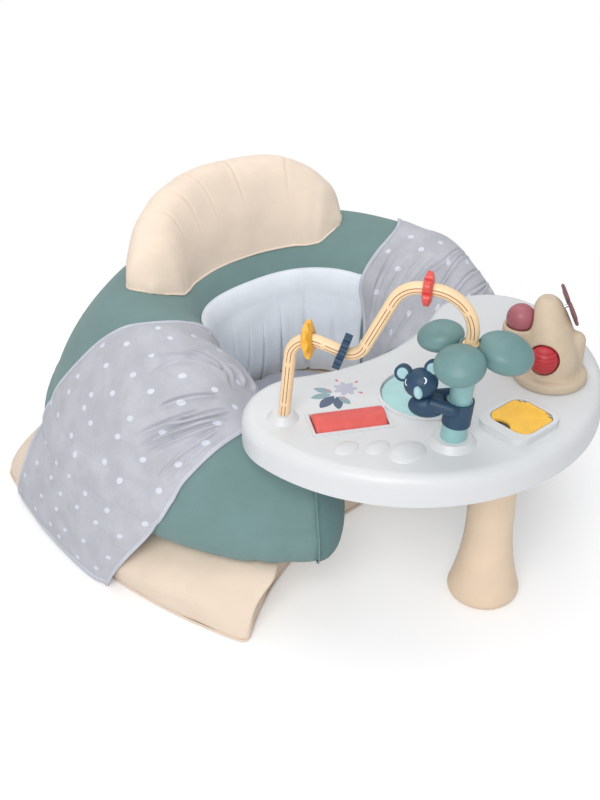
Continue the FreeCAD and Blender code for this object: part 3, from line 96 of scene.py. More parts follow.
# Creases of the bands: points as (from the middle, from the floor) along the cloth, height
near_creases = (
    (((37, 361), (16, 389), (-1, 412), (-26, 414), (-54, 404)), 3.0),
    (((2, 343), (-2, 370), (-16, 396), (-38, 407), (-65, 397)), 3.4),
    (((22, 395), (2, 424), (-30, 428), (-60, 414)), 2.4),
    (((-41, 309), (-58, 340), (-78, 367)), 2.6), (((-63, 296), (-81, 314), (-99, 354)), 3.2),
    (((-45, 262), (-61, 292), (-85, 334)), 2.2), (((-57, 249), (-86, 306), (-109, 347)), 3.0),
    (((-73, 245), (-95, 297), (-112, 334)), 2.6), (((-114, 221), (-108, 269), (-114, 323)), 2.8),
    (((-129, 229), (-121, 271), (-121, 317)), 2.2),
    (((-10, 440), (-34, 450), (-62, 436)), 2.6), (((-20, 470), (-44, 474), (-68, 456)), 2.2),
)
far_creases = (
    (((60, 470), (45, 530), (40, 600)), 3.0), (((52, 461), (36, 512), (27, 583)), 3.2),
    (((30, 450), (22, 500), (10, 570)), 2.8), (((17, 441), (11, 476), (-4, 509), (-9, 560)), 3.2),
    (((-4, 407), (-4, 453), (-12, 500)), 2.4), (((-20, 339), (-18, 405), (-11, 453)), 2.4),
    (((-30, 330), (-40, 411), (-50, 440)), 2.6), (((-56, 304), (-70, 387), (-75, 430)), 3.0),
    (((-75, 291), (-88, 330), (-93, 364)), 3.0), (((-82, 300), (-100, 340), (-104, 380)), 2.4),
    (((-77, 445), (-72, 480), (-66, 520)), 2.6), (((-40, 470), (-44, 510), (-42, 560)), 2.4),
)
tray_z = 282.0
post = (-204.7, -225.8)
trunk_foot = np.array((-87.0, -394.0, tray_z))
trunk_way = np.array((0.063, -0.055, 1.0)) / math.sqrt(0.063 ** 2 + 0.055 ** 2 + 1.0)
rail_radius = 7.35
koala_turn = math.radians(139.0)
head_reach = 48.0
head_height = 82.0
head_radii = (20.0, 17.6, 17.6)
rail_rise = 199.0
rail_end = 133.5
rail_corners = ((0.058, 0.619), (0.414, 0.488), (0.636, 0.989), (1.042, 0.974))
rail_bends = (25.3, 19.0, 33.2, 48.4)

# Sizes of the dressed pieces

seam_clear = 3.0
ring_rows = 480
ring_dents = (-3.0, 1.1)
ring_seam_share = 0.085
ring_counts = (24, 34, 26, 24, 34)
ring_floor_count = 22
base_low = 2.2
base_count = 560
base_low_edge = 7.0
base_high_edge = 14.0
base_bulge = 2.5
under_cloth = (0.3, 1.9)
zip_y = 190.0
zip_half = 160.0
zip_gap = 8.0
tape_size = np.array((344.0, 9.0, 0.25))
tape_z = 2.05
tooth_size = np.array((1.3, 3.4, 0.1))
tooth_pitch = 2.0
tooth_count = 150
tooth_z = 2.03
welt_radius = 1.5
thin_welt = 1.3
headrest_counts = (30, 30, 26)
gathers = ((0.86, 3.2), (0.72, 4.2), (0.50, 5.6), (0.25, 3.6), (-0.13, 4.4), (-0.62, 2.6))
headrest_foot_reach = 55.0
pad_turn = 190.0
pad_start = -5.0
pad_foot = 5.0
pad_rise = 188.0
pad_dip = 8.0
pad_thickness = 15.5
pleat_depths = (6.5, 9.0)
pleat_width = 1.9
seat_centre = np.array((0.0, -20.0, 0.0))
seat_radius = 86.0
seat_bulge = 94.6
hull_counts = (44, 32, 68, 52, 48, 52)
band_cover = 2.6
band_step = 0.25
band_columns = 190
band_thickness = 1.1
band_end_steps = 16
band_slack = 2.4
band_lift = (-0.4, 8.5)
band_lowest = 0.8
band_spot = (120, 90)
crease_width = 3.1
hem_size = (5.5, 2.0)
foot_hem_size = (8.0, 2.4)
stitch_pitch = 3.4
stitch_radius = 0.3
groove_depth = 0.75
groove_mark = (1.5, 0.5)
joint_radius = 0.42
groove_turns = [face + split for face in (0.0, math.pi) for split in (-0.30, 0.30)]


# Plane and curve helpers

def smooth(x, xs, ys):
    """A smooth curve through a table of values."""
    xs, ys = np.asarray(xs, float), np.asarray(ys, float)
    slopes = np.gradient(ys, xs)
    x = np.clip(np.asarray(x, float), xs[0], xs[-1])
    i = np.clip(np.searchsorted(xs, x) - 1, 0, len(xs) - 2)
    h = xs[i + 1] - xs[i]
    t = (x - xs[i]) / h
    return ((2 * t ** 3 - 3 * t ** 2 + 1) * ys[i] + (t ** 3 - 2 * t ** 2 + t) * h * slopes[i]
            + (3 * t ** 2 - 2 * t ** 3) * ys[i + 1] + (t ** 3 - t ** 2) * h * slopes[i + 1])


def ease(x, low, high):
    """0 before low, 1 after high, smooth between."""
    t = np.clip((np.asarray(x, float) - low) / (high - low), 0, 1)
    return t * t * (3 - 2 * t)


def circle_through(a, b, c):
    """Centre and radius of the circle through three plane points."""
    d = 2 * (a[0] * (b[1] - c[1]) + b[0] * (c[1] - a[1]) + c[0] * (a[1] - b[1]))
    sa, sb, sc = a @ a, b @ b, c @ c
    x = (sa * (b[1] - c[1]) + sb * (c[1] - a[1]) + sc * (a[1] - b[1])) / d
    y = (sa * (c[0] - b[0]) + sb * (a[0] - c[0]) + sc * (b[0] - a[0])) / d
    centre = np.array((x, y))
    return centre, np.linalg.norm(a - centre)


def arc(a, b, c, count):
    """Points on the arc from a through b to c, without c."""
    a, b, c = (np.asarray(p, float) for p in (a, b, c))
    centre, radius = circle_through(a, b, c)
    start, mid, end = (math.atan2(*(p - centre)[::-1]) for p in (a, b, c))
    turn = (end - start) % math.tau
    if (mid - start) % math.tau > turn:
        turn -= math.tau
    t = start + turn * np.arange(count) / count
    return centre + radius * np.stack([np.cos(t), np.sin(t)], 1)


def straight(a, b, count):
    """Evenly spaced points from a towards b, without b."""
    a, b = np.asarray(a, float), np.asarray(b, float)
    return a + (b - a) * (np.arange(count) / count)[:, None]


def arc_chain(points, counts):
    """Arcs through every second point, end to end, with the last point."""
    pieces = [arc(*points[2 * i:2 * i + 3], n) for i, n in enumerate(counts)]
    return np.concatenate(pieces + [np.asarray(points[-1], float)[None]])



def unit(vectors):
    """Vectors brought to length one."""
    return vectors / np.linalg.norm(vectors, axis=-1, keepdims=True)


def run_along(line):
    """Length from the start of a line to each of its points."""
    return np.insert(np.cumsum(np.linalg.norm(np.diff(line, axis=0), axis=1)), 0, 0.0)


def run_round(loop):
    """Length round a closed outline to the end of each of its steps."""
    return np.cumsum(np.linalg.norm(np.diff(loop, axis=0, append=loop[:1]), axis=1))[None]


def offset_plane(points, grow):
    """Moves plane points outward along the outline's own normals."""
    p = np.asarray(points, float)
    d = unit(np.roll(p, -1, 0) - np.roll(p, 1, 0))
    return p + grow * np.stack([d[:, 1], -d[:, 0]], 1)


def turned(section, angle):
    """Plane (radius, height) points set upright at an angle in degrees, or at one angle each."""
    a = np.radians(angle)
    return np.stack([section[:, 0] * np.cos(a), section[:, 0] * np.sin(a), section[:, 1]], 1)


def ripples(points, size, seed, count=14):
    """Smooth noise from -1 to 1 with features about as large as size."""
    rng = np.random.default_rng(seed)
    flat = points.reshape(-1, points.shape[-1])
    total = np.zeros(len(flat))
    for _ in range(count):
        way = rng.normal(size=flat.shape[1])
        way *= math.tau / (size * rng.uniform(0.8, 2.2)) / np.linalg.norm(way)
        total += np.sin(flat @ way + rng.uniform(0, math.tau))
    return (total / math.sqrt(count)).reshape(points.shape[:-1])


def resample(line, count, closed=False):
    """Points evenly spaced along a line."""
    pts = np.vstack([line, line[:1]]) if closed else np.asarray(line, float)
    run = run_along(pts)
    at = np.linspace(0, run[-1], count, endpoint=not closed)
    return np.stack([np.interp(at, run, pts[:, k]) for k in range(pts.shape[1])], 1)


def blur(line, passes, closed=False):
    """Rounds a line by averaging neighbours."""
    p = np.array(line, float)
    for _ in range(passes):
        q = (np.roll(p, 1, 0) + 2 * p + np.roll(p, -1, 0)) / 4
        if not closed:
            q[0], q[-1] = p[0], p[-1]
        p = q
    return p


def round_steps(count):
    """Evenly spaced angles round a full turn, in radians."""
    return np.arange(count) / count * math.tau


# Mesh helpers

def added(name, data):
    """A new object in the scene."""
    thing = bpy.data.objects.new(name, data)
    bpy.context.scene.collection.objects.link(thing)
    return thing


def set_smooth(mesh, smooth=True):
    """Smooth or flat shading for all faces of a mesh."""
    mesh.polygons.foreach_set("use_smooth", [smooth] * len(mesh.polygons))


def new_object(name, verts, faces, uvs=None):
    """A smooth-shaded object from millimetre points. uvs holds one pair for each corner of each face."""
    mesh = bpy.data.meshes.new(name)
    mesh.from_pydata((np.asarray(verts, float) * MM).tolist(), [], [list(map(int, f)) for f in faces])
    if uvs is not None:
        layer = mesh.uv_layers.new(name="cloth")
        layer.data.foreach_set("uv", np.asarray(uvs, np.float32).ravel())
    mesh.validate()
    set_smooth(mesh)
    mesh.update()
    return added(name, mesh)


def grid_normals(p, wrap_cols=False):
    """Normals of a grid of points, which may close round its columns."""
    across = np.roll(p, -1, 1) - np.roll(p, 1, 1) if wrap_cols else np.gradient(p, axis=1)
    n = np.cross(across, np.gradient(p, axis=0))
    return n / np.maximum(np.linalg.norm(n, axis=2), 1e-9)[:, :, None]


def outward(normals, way, spot):
    """The normals, turned over if the one at a spot of the grid looks against a direction."""
    return -normals if normals[spot] @ way < 0 else normals


def round_normals(p, spot):
    """Outward normals of a form whose rows are rings, judged at a spot on one of its bulging rows."""
    return outward(grid_normals(p, True), p[spot] - p[spot[0]].mean(0), spot)


def grid_object(name, p, wrap_rows=False, wrap_cols=False, uv=None, caps=(), flip=False):
    """A grid of points as an object. caps closes the first or last row with a fan to its middle."""
    rows, cols = p.shape[:2]
    verts = p.reshape(-1, 3)
    r = np.arange(rows if wrap_rows else rows - 1)
    c = np.arange(cols if wrap_cols else cols - 1)
    i, j = (m.ravel() for m in np.meshgrid(r, c, indexing="ij"))
    i1, j1 = (i + 1) % rows, (j + 1) % cols
    faces = np.stack([i * cols + j, i * cols + j1, i1 * cols + j1, i1 * cols + j], 1)
    if uv is None:
        du = np.linalg.norm(np.diff(p, axis=1), axis=2).mean(0)
        dv = np.linalg.norm(np.diff(p, axis=0), axis=2).mean(1)
        u = np.concatenate([[0], np.cumsum(du), [np.sum(du) + du[-1]]])[:cols + 1]
        v = np.concatenate([[0], np.cumsum(dv), [np.sum(dv) + dv[-1]]])[:rows + 1]
        uv = np.stack(np.meshgrid(u, v), 2)
    corners = np.stack([uv[i, j], uv[i, j + 1], uv[i + 1, j + 1], uv[i + 1, j]], 1) * MM
    faces, corners = faces.tolist(), corners.tolist()
    extra = []
    for row in caps:
        at = 0 if row == 0 else rows - 1
        middle = len(verts) + len(extra)
        extra.append(p[at].mean(0))
        for k in range(cols if wrap_cols else cols - 1):
            a, b = at * cols + k, at * cols + (k + 1) % cols
            faces.append([middle, b, a] if row == 0 else [middle, a, b])
            corners.append([[0.0, 0.0]] * 3)
    if extra:
        verts = np.vstack([verts, extra])
    if flip:
        faces = [f[::-1] for f in faces]
        corners = [c[::-1] for c in corners]
    flat = [pair for face in corners for pair in face]
    return new_object(name, verts, faces, flat)


def tube(name, line, across, up, px, py, closed=False):
    """A section (px sideways, py up) carried along a line, the same all along or one for each point."""
    p = line[:, None] + px[..., None] * across[:, None] + py[..., None] * up[:, None]
    return grid_object(name, p, closed, True, caps=() if closed else (0, 1))


def sweep(name, path, profile, closed=False, side=None):
    """A section (x sideways, y up from the path) carried along a path. side fixes the sideways direction."""
    path = np.asarray(path, float)
    ahead = np.roll(path, -1, 0) - np.roll(path, 1, 0)
    if not closed:
        ahead[0], ahead[-1] = path[1] - path[0], path[-1] - path[-2]
    ahead = unit(ahead)
    if side is None:
        across = np.zeros_like(path)
        last = np.array((0.0, 0.0, 1.0)) if abs(ahead[0, 2]) < 0.9 else np.array((1.0, 0.0, 0.0))
        for k, t in enumerate(ahead):
            last = unit(last - t * (last @ t))
            across[k] = last
    else:
        across = unit(side - ahead * (ahead @ side)[:, None])
    return tube(name, path, across, np.cross(across, ahead), profile[:, 0], profile[:, 1], closed)


def ribbon(name, line, normals, width, thickness):
    """A flat rounded binding along a line, lying on its surface."""
    ahead = unit(np.gradient(line, axis=0))
    up = unit(normals - ahead * np.sum(normals * ahead, 1)[:, None])
    c, s = round_profile(1.0, 16).T
    px = np.sign(c) * np.abs(c) ** 0.6 * width / 2
    py = np.sign(s) * np.abs(s) ** 0.8 * thickness / 2
    return tube(name, line, np.cross(ahead, up), up, px, py)


def round_profile(radius, count):
    """Points on a circle."""
    t = round_steps(count)
    return radius * np.stack([np.cos(t), np.sin(t)], 1)


def final_mesh(thing):
    """The mesh of an object with its modifiers worked out."""
    return bpy.data.meshes.new_from_object(thing.evaluated_get(bpy.context.evaluated_depsgraph_get()))


def remeshed(node, voxel, rounds, name):
    """A copy of a CAD node's shape with its sharp joins blended."""
    thing = added(name + "_raw", nodes[node].data.copy())
    solid = thing.modifiers.new("blend", "REMESH")
    solid.mode = "VOXEL"
    solid.voxel_size = voxel * MM
    solid.use_smooth_shade = True
    relax = thing.modifiers.new("relax", "SMOOTH")
    relax.iterations = rounds
    relax.factor = 0.5
    shape = final_mesh(thing)
    bpy.data.objects.remove(thing)
    shape.name = name
    set_smooth(shape)
    return added(name, shape)


def join_into(pieces, name):
    """Joins objects into the first one under a new name."""
    bm = bmesh.new()
    for piece in pieces:
        bm.from_mesh(piece.data)
    bm.to_mesh(pieces[0].data)
    bm.free()
    for piece in pieces[1:]:
        bpy.data.objects.remove(piece)
    pieces[0].name = name
    set_smooth(pieces[0].data)


# Materials

def rgb(r, g, b):
    """Linear colour from the 0 to 255 values that a screen shows."""
    def part(c):
        c /= 255
        return c / 12.92 if c <= 0.04045 else ((c + 0.055) / 1.055) ** 2.4
    return part(r), part(g), part(b), 1.0


def add_node(tree, kind, *links, **values):
    """A shader node with its values set and its inputs linked."""
    made = tree.nodes.new(kind)
    for key, value in values.items():
        label = key.replace("_", " ")
        if label in made.inputs:
            made.inputs[label].default_value = value
        else:
            setattr(made, key, value)
    for socket, source in links:
        tree.links.new(source, made.inputs[socket])
    return made


class Finish:
    """A node material with short calls."""

    def __init__(self, name, rough=0.5, **sockets):
        self.mat = bpy.data.materials.new(name)
        self.mat.use_nodes = True
        self.tree = self.mat.node_tree
        self.bsdf = next(n for n in self.tree.nodes if n.type == "BSDF_PRINCIPLED")
        self.bsdf.inputs["Roughness"].default_value = rough
        for key, value in sockets.items():
            self.bsdf.inputs[key.replace("_", " ")].default_value = value

    def node(self, kind, *links, **values):
        return add_node(self.tree, kind, *links, **values)

    def link(self, source, socket):
        self.tree.links.new(source, self.bsdf.inputs[socket])

    def place(self, kind="Object"):
        return self.node("ShaderNodeTexCoord").outputs[kind]

    def noise(self, vector, size, detail=3.0, rough=0.55):
        made = self.node("ShaderNodeTexNoise", ("Vector", vector), Scale=1 / (size * MM), Detail=detail,
                         Roughness=rough)
        return made.outputs["Fac"]

    def feed(self, made, sockets, values):
        """Links or sets the numbered inputs of a node."""
        for socket, value in zip(sockets, values):
            if isinstance(value, (int, float, tuple)):
                made.inputs[socket].default_value = value
            else:
                self.tree.links.new(value, made.inputs[socket])

    def math(self, operation, a, b):
        made = self.node("ShaderNodeMath", operation=operation)
        self.feed(made, (0, 1), (a, b))
        return made.outputs[0]

    def span(self, value, low, high, to_low=0.0, to_high=1.0):
        made = self.node("ShaderNodeMapRange", ("Value", value), interpolation_type="SMOOTHSTEP",
                         From_Min=low, From_Max=high, To_Min=to_low, To_Max=to_high)
        return made.outputs[0]

    def mix(self, factor, a, b):
        made = self.node("ShaderNodeMix", (0, factor), data_type="RGBA")
        self.feed(made, (6, 7), (a, b))
        return made.outputs[2]

    def bump(self, height, distance, strength=1.0):
        made = self.node("ShaderNodeBump", ("Height", height), Strength=strength, Distance=distance * MM)
        self.link(made.outputs[0], "Normal")


def shade(colour, by):
    """A linear colour made lighter or darker."""
    return tuple(min(1.0, c * by) for c in colour[:3]) + (1.0,)


def cloth(name, colour, thread=0.9, slub=0.3, spread=0.06, patches=55.0, dots=None, dot_colour=None):
    """Woven cloth: threads both ways, slubs, and slow changes of shade. dots is (spacing, radius)."""
    f = Finish(name, rough=0.88, Sheen_Weight=0.12, Sheen_Roughness=0.6, Specular_IOR_Level=0.25)
    where, uv = f.place(), f.place("UV")
    colour = rgb(*colour)
    broad = f.noise(where, patches, 2.0)
    fine = f.noise(where, 3.5, 4.0, 0.7)
    tone = f.math("ADD", f.math("MULTIPLY", broad, 0.7), f.math("MULTIPLY", fine, 0.3))
    base = f.mix(f.span(tone, 0.36, 0.64), shade(colour, 1 - spread), shade(colour, 1 + spread))
    if dots:
        spacing, radius = dots
        cells = f.node("ShaderNodeTexVoronoi", ("Vector", uv), voronoi_dimensions="2D",
                       Scale=1 / (spacing * MM), Randomness=0.52)
        edge = radius / spacing
        dot = f.span(cells.outputs["Distance"], edge * 0.9, edge * 1.08, 1.0, 0.0)
        base = f.mix(dot, base, rgb(*dot_colour))
    f.link(base, "Base Color")
    warp, weft = (f.node("ShaderNodeTexWave", ("Vector", uv), wave_type="BANDS", bands_direction=way,
                         Scale=math.pi / (20 * thread * MM), Distortion=0.6, Detail=1.0) for way in "XY")
    threads = f.math("MULTIPLY", warp.outputs["Fac"], weft.outputs["Fac"])
    f.bump(f.math("ADD", f.math("MULTIPLY", threads, 0.35), f.math("MULTIPLY", fine, 0.65)), slub)
    return f.mat


def plastic(name, colour, rough=0.3, spread=0.03, grain=0.06, coat=0.0, patches=30.0, wear=0.05, **sockets):
    """Moulded plastic: fine skin, slight flow marks in the colour, and duller patches from handling."""
    f = Finish(name, rough=rough, Coat_Weight=coat, Coat_Roughness=0.15, **sockets)
    where = f.place()
    colour = rgb(*colour)
    broad = f.span(f.noise(where, patches, 2.0), 0.35, 0.65)
    f.link(f.mix(broad, shade(colour, 1 - spread), shade(colour, 1 + spread)), "Base Color")
    f.link(f.span(f.noise(where, 18.0, 4.0), 0.4, 0.7, rough, min(1.0, rough + wear)), "Roughness")
    f.bump(f.noise(where, 1.1, 2.0), grain, 0.6)
    return f.mat


finishes = {
    "sage": cloth("cloth_sage", (116, 145, 144), spread=0.035),
    # A darker copy of the sage cloth: painted shade for the arms' end panels
    "sage_painted_shade": cloth("cloth_sage_painted_shade", (97, 126, 127), spread=0.035),
    "cream": cloth("cloth_cream", (236, 217, 198), spread=0.03),
    # A lighter copy of the cream cloth: painted light for the headrest on top
    "cream_painted_light": cloth("cloth_cream_painted_light", (247, 228, 209), spread=0.03),
    "pad": cloth("cloth_pad", (233, 239, 247), thread=1.1, slub=0.35, spread=0.03),
    "seat": cloth("cloth_seat", (160, 164, 174), thread=1.1, slub=0.4),
    "dots": cloth("cloth_dots", (190, 191, 199), thread=0.8, slub=0.4, spread=0.07, patches=38.0,
                  dots=(44.0, 4.4), dot_colour=(221, 224, 235)),
    "hem": cloth("cloth_hem", (200, 202, 212), thread=0.8, slub=0.3),
    "lining": cloth("cloth_lining", (150, 150, 154), thread=1.0),
    "tape": cloth("cloth_tape", (214, 200, 182), thread=0.7),
    "strap": cloth("web_dark", (62, 66, 78), thread=1.3, slub=0.5),
    "thread": plastic("sewing_thread", (226, 228, 236), rough=0.7),
    "film": plastic("clear_film", (208, 214, 220), rough=0.25, spread=0.02),
    "white": plastic("gloss_white", (221, 223, 225), rough=0.34, spread=0.006, grain=0.004, wear=0.04),
    "white_under": plastic("satin_white", (238, 239, 240), rough=0.4, spread=0.01),
    "leg": plastic("satin_cream", (235, 211, 184), rough=0.42, spread=0.015),
    "rail": plastic("rail_cream", (247, 216, 174), rough=0.3, spread=0.02),
    "groove": plastic("rail_groove", (150, 98, 60), rough=0.6),
    "bead_yellow": plastic("bead_yellow", (244, 178, 52), rough=0.3),
    "navy": plastic("navy", (38, 70, 97), rough=0.46, spread=0.06, grain=0.1),
    "bead_red": plastic("bead_red", (228, 78, 72), rough=0.3),
    "leaf": plastic("leaf_green", (110, 146, 146), rough=0.42, spread=0.04, patches=24.0),
    "trunk": plastic("trunk_teal", (150, 194, 195), rough=0.34),
    "disc": plastic("disc_teal", (178, 220, 220), rough=0.25, coat=0.2),
    "clear": plastic("disc_clear", (205, 226, 228), rough=0.1, coat=0.6),
    "coral": plastic("roller_coral", (228, 98, 92), rough=0.42, spread=0.05, patches=16.0, grain=0.35),
    "flap": plastic("flap_yellow", (252, 197, 78), rough=0.4, spread=0.04, patches=14.0, grain=0.25),
    "mound": plastic("mound_beige", (207, 189, 165), rough=0.5, spread=0.035, patches=26.0, grain=0.12),
    "mauve": plastic("ball_mauve", (168, 96, 106), rough=0.4, spread=0.04),
    "crimson": plastic("ball_red", (196, 56, 64), rough=0.38, spread=0.05),
    "wing": plastic("wing_mauve", (128, 84, 88), rough=0.45, spread=0.06),
    "ear": plastic("ear_pale", (168, 205, 210), rough=0.4),
    "eye": plastic("eye_white", (246, 248, 250), rough=0.2),
    "dark": plastic("dark_grey", (58, 62, 68), rough=0.5),
    "steel": plastic("steel_bright", (196, 198, 202), rough=0.28, Metallic=1.0),
}
for key, colour in (("slate", (84, 100, 126)), ("teal", (140, 168, 176)), ("lilac", (190, 190, 208)),
                    ("coral", (226, 130, 130))):
    finishes["print_" + key] = plastic("print_" + key, colour, rough=0.35)

wearers = {
    "film": ("base_bladder", "ring_bladder", "headrest_bladder", "air_valves", "valve_plugs"),
    "dark": ("base_zip_slider",), "white": ("tray_top",), "white_under": ("tray_bottom",),
    "steel": ("tray_screws", "leg_screw", "roller_axle", "flap_pin", "ball_mauve_pin", "ball_red_pin",
              "butterfly_pin"),
    "leg": ("table_leg",), "strap": ("tray_strap",), "bead_yellow": ("bead_yellow",),
    "navy": ("bead_navy", "koala_sleeve", "koala_body", "koala_head", "koala_ears"),
    "bead_red": ("bead_red",), "leaf": ("leaf_1", "leaf_2", "leaf_3", "leaf_hub"),
    "trunk": ("palm_trunk", "trunk_collar", "koala_liner"), "ear": ("koala_inner_ears", "koala_nose"),
    "rail": ("rail_flange",), "disc": ("spin_disc", "disc_pin"), "clear": ("disc_window",),
    "coral": ("roller_drum",), "flap": ("flap",), "mound": ("mound",), "mauve": ("ball_mauve",),
    "crimson": ("ball_red",), "wing": ("butterfly",),
}


def set_finish(piece, finish):
    """Makes a finish the one material of a piece."""
    piece.data.materials.clear()
    piece.data.materials.append(finishes[finish])


for finish, names in wearers.items():
    for name in names:
        set_finish(nodes[name], finish)


def dress(piece, finish, body, slot, *stands_for):
    """Gives a piece its material and body, and hides the nodes that it stands for. slot is not used."""
    set_finish(piece, finish)
    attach(piece, body)
    if stands_for:
        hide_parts(*stands_for)
    return piece


def welt(name, line, radius, finish, slot, closed=True):
    """A sewn cord along a seam of the seat."""
    dress(sweep(name, line, round_profile(radius, 8), closed), finish, "seat", slot)


# The ring

def arm_share(angle):
    """0 on the back of the ring, rising to 1 at the end of either arm."""
    return max(0.0, -angle, angle - 180.0) / arm_end


def back_inset(angle):
    """How far the ring's inner wall lies inward at the back."""
    return ring_back_inset * max(0.0, math.sin(math.radians(angle))) ** 2


def ring_points(angle, grow):
    """The through points of the ring's section, as (radius, height)."""
    inner = ring_inner - back_inset(angle)
    width = ring_outer - ring_inner
    share = arm_share(angle)
    rise = ring_high * float(smooth(share, arm_shares, arm_heights))
    pinch = float(ease(share, 0.0, 0.18) * (1 - ease(share, 0.8, 1.0)))
    pts = np.array([(inner + (u + pinch * k) * width, v * rise)
                    for (u, v), k in zip(ring_profile, pinch_shares)])
    centre, radius = circle_through(*pts[:3])
    pts[:, 1] += base_high + soft_gap - min(0.0, centre[1] - radius)
    return offset_plane(pts, grow)


def ring_section(angle, grow):
    """The ring's closed section, with its floor."""
    pts = ring_points(angle, grow)
    return np.vstack([arc_chain(pts, ring_counts), straight(pts[-1], pts[0], ring_floor_count)[1:]])


def crest_z(angle, radius):
    """Height of the ring's upper surface above a radius."""
    pts = arc_chain(ring_points(angle, 0.0), ring_counts)[ring_counts[0]:-ring_counts[-1]]
    order = np.argsort(pts[:, 0])
    return np.interp(radius, pts[order, 0], pts[order, 1])


def ring_folds(p, angles):
    """Puckers above the base seam and at the two end seams, on a slow swell."""
    around = np.arange(p.shape[1]) / p.shape[1]
    low = np.exp(-((around - ring_seam_share) / 0.045) ** 2)[None]
    along = np.radians(angles)[:, None] * 300.0
    wave = 0.5 + 0.5 * np.sin(along / 4.6 + 2.2 * np.sin(along / 41.0))
    puckers = -wave ** 5 * (0.55 + 0.45 * np.sin(along / 23.0 + 1.0))
    ends = np.minimum(angles - angles[0], angles[-1] - angles)[:, None] * 4.3
    run = run_round(p[0])
    sewn = np.sin(run / 6.2 + 1.7 * np.sin(run / 29.0)) * np.exp(-ends / 16.0)
    return 1.3 * ripples(p, 120.0, 3) + 3.0 * puckers * low + 0.9 * sewn - 1.6 * np.exp(-ends / 5.0)


def make_ring():
    """The horseshoe ring's cloth."""
    angles = np.linspace(-arm_end, 180.0 + arm_end, ring_rows)
    p = np.stack([turned(ring_section(a, 0.0), a) for a in angles])
    n = round_normals(p, (240, 60))
    move = np.clip(ring_folds(p, angles), *ring_dents)
    resting = p[:, :, 2] < base_high + seam_clear
    p = p + n * np.where(resting, 0.0, move)[:, :, None]
    piece = grid_object("ring_fabric", p, False, True)
    dress(piece, "sage", "seat", "fabric_sage", "ring_cover", "ring_bladder")


make_ring()


def end_panel(side):
    """The domed cloth end of one arm. side is 1 for the right arm."""
    word = "right" if side > 0 else "left"
    angle = -arm_end
    rim = turned(ring_section(angle, -0.4), angle)
    centre = turned(ring_points(angle, 0.0), angle).mean(0)
    out = turned(np.array(((1.0, 0.0),)), angle - 90.0)[0]
    steps = np.linspace(0, 1, 30)
    marks = (0, 0.3, 0.55, 0.75, 0.9, 1.0)
    depth = smooth(steps, marks, (0, 0.37, 0.70, 0.90, 0.985, 1.0)) * dome_depth
    size = smooth(steps, marks, (1.0, 0.95, 0.80, 0.56, 0.25, 0.02))
    p = centre + (rim - centre)[None] * size[:, None, None] + out * depth[:, None, None]
    n = round_normals(p, (10, 60))
    run = run_round(rim)
    sewn = np.sin(run / 7.1 + 1.3 * np.sin(run / 23.0)) * np.exp(-depth[:, None] / 12.0)
    move = 0.9 * ripples(p, 70.0, 11 + side) * ease(steps, 0, 0.2)[:, None] + 0.8 * sewn
    move[-1] = 0
    above = p[:, :, 2] > base_high + seam_clear
    p = p + n * np.where(above, move, 0.0)[:, :, None]
    p[:, :, 0] *= side
    piece = grid_object(f"end_fabric_{word}", p, False, True, caps=(1,), flip=side < 0)
    # The end cloth is the darker sage copy: painted shade on the arm's end
    dress(piece, "sage_painted_shade", "seat", "fabric_sage", f"end_panel_{word}")
    seam = turned(ring_section(angle, 0.9), angle) + out * 0.2
    seam[:, 2] = np.maximum(seam[:, 2], base_high + 1.8)
    seam[:, 0] *= side
    welt(f"end_welt_{word}", resample(seam, 260, True), thin_welt, "sage", "fabric_sage")


end_panel(1)
end_panel(-1)


# The base cushion

def base_outline(shares, inset, z, count):
    """The base's outline at one level: four arcs, with the corners a little rounded."""
    front, back, side, rear, hollow = shares
    reach = 1.0 - inset / base_side[0]
    fx, fy = front_corner[0] * front - 0.5 * inset, 1.85 * inset - front_corner[1]
    bx, by = back_corner[0] * back * reach, back_corner[1] * back * reach
    sx, sy = base_side[0] * side * reach, base_side[1]
    loop = np.vstack([
        arc((-fx, fy), (0.0, inset - base_front * hollow), (fx, fy), 120),
        arc((fx, fy), (sx, sy), (bx, by), 120),
        arc((bx, by), (0.0, base_back * rear * reach), (-bx, by), 120),
        arc((-bx, by), (-sx, sy), (-fx, fy), 120),
    ])
    loop = blur(resample(loop, count, True), 10, True)
    return np.column_stack([loop, np.full(count, z)])


def base_shares(share):
    """The outline's shares at one share of the base's height."""
    table = np.array(base_levels)
    return [float(smooth(share, table[:, 0], table[:, k])) for k in range(1, 6)]


def make_base():
    """The base cushion, closed above and below, with a welt at its lower edge."""
    rise = base_high - base_low
    heights = np.concatenate([[0.0, 0.012, 0.035], np.linspace(0.07, 0.93, 26), [0.965, 0.988, 1.0]])
    rows = []
    for h in heights:
        radius = base_low_edge if h < 0.5 else base_high_edge
        from_edge = min(h, 1 - h) * rise
        inset = radius - math.sqrt(radius ** 2 - max(0.0, radius - from_edge) ** 2)
        rows.append(base_outline(base_shares(h), inset * 0.6, base_low + h * rise, base_count))
    p = np.stack(rows)
    n = round_normals(p, (14, 10))
    lift = heights[:, None]
    run = run_round(p[0])
    low_seam = np.sin(run / 11.0 + 2.0 * np.sin(run / 57.0)) * np.exp(-lift / 0.16)
    belly = ripples(p, 95.0, 21) * np.sin(math.pi * lift)
    near = np.hypot(abs(p[:, :, 0]) - front_corner[0], p[:, :, 1] + front_corner[1])
    creases = np.sin(run / 17.0 + lift * 5.0) * np.exp(-near / 70.0) * np.sin(math.pi * lift)
    move = 1.8 * belly + 0.9 * low_seam + 1.4 * creases
    move[0] = 0
    p = p + n * np.minimum(move, base_bulge)[:, :, None]
    under = [p[0] * (share, share, 1.0) for share in (0.1, 0.5, 0.85)]
    top = [p[-1] * (share, share, 1.0) for share in (0.75, 0.4, 0.12)]
    piece = grid_object("base_cushion", np.concatenate([under, p, top]), False, True, caps=(0, 1))
    dress(piece, "cream", "seat", "fabric_beige", "base_cover", "base_bladder")
    edge = base_outline(base_shares(0.0), 1.0, 2.4, base_count)
    welt("base_welt", edge, welt_radius, "cream", "fabric_beige")


make_base()


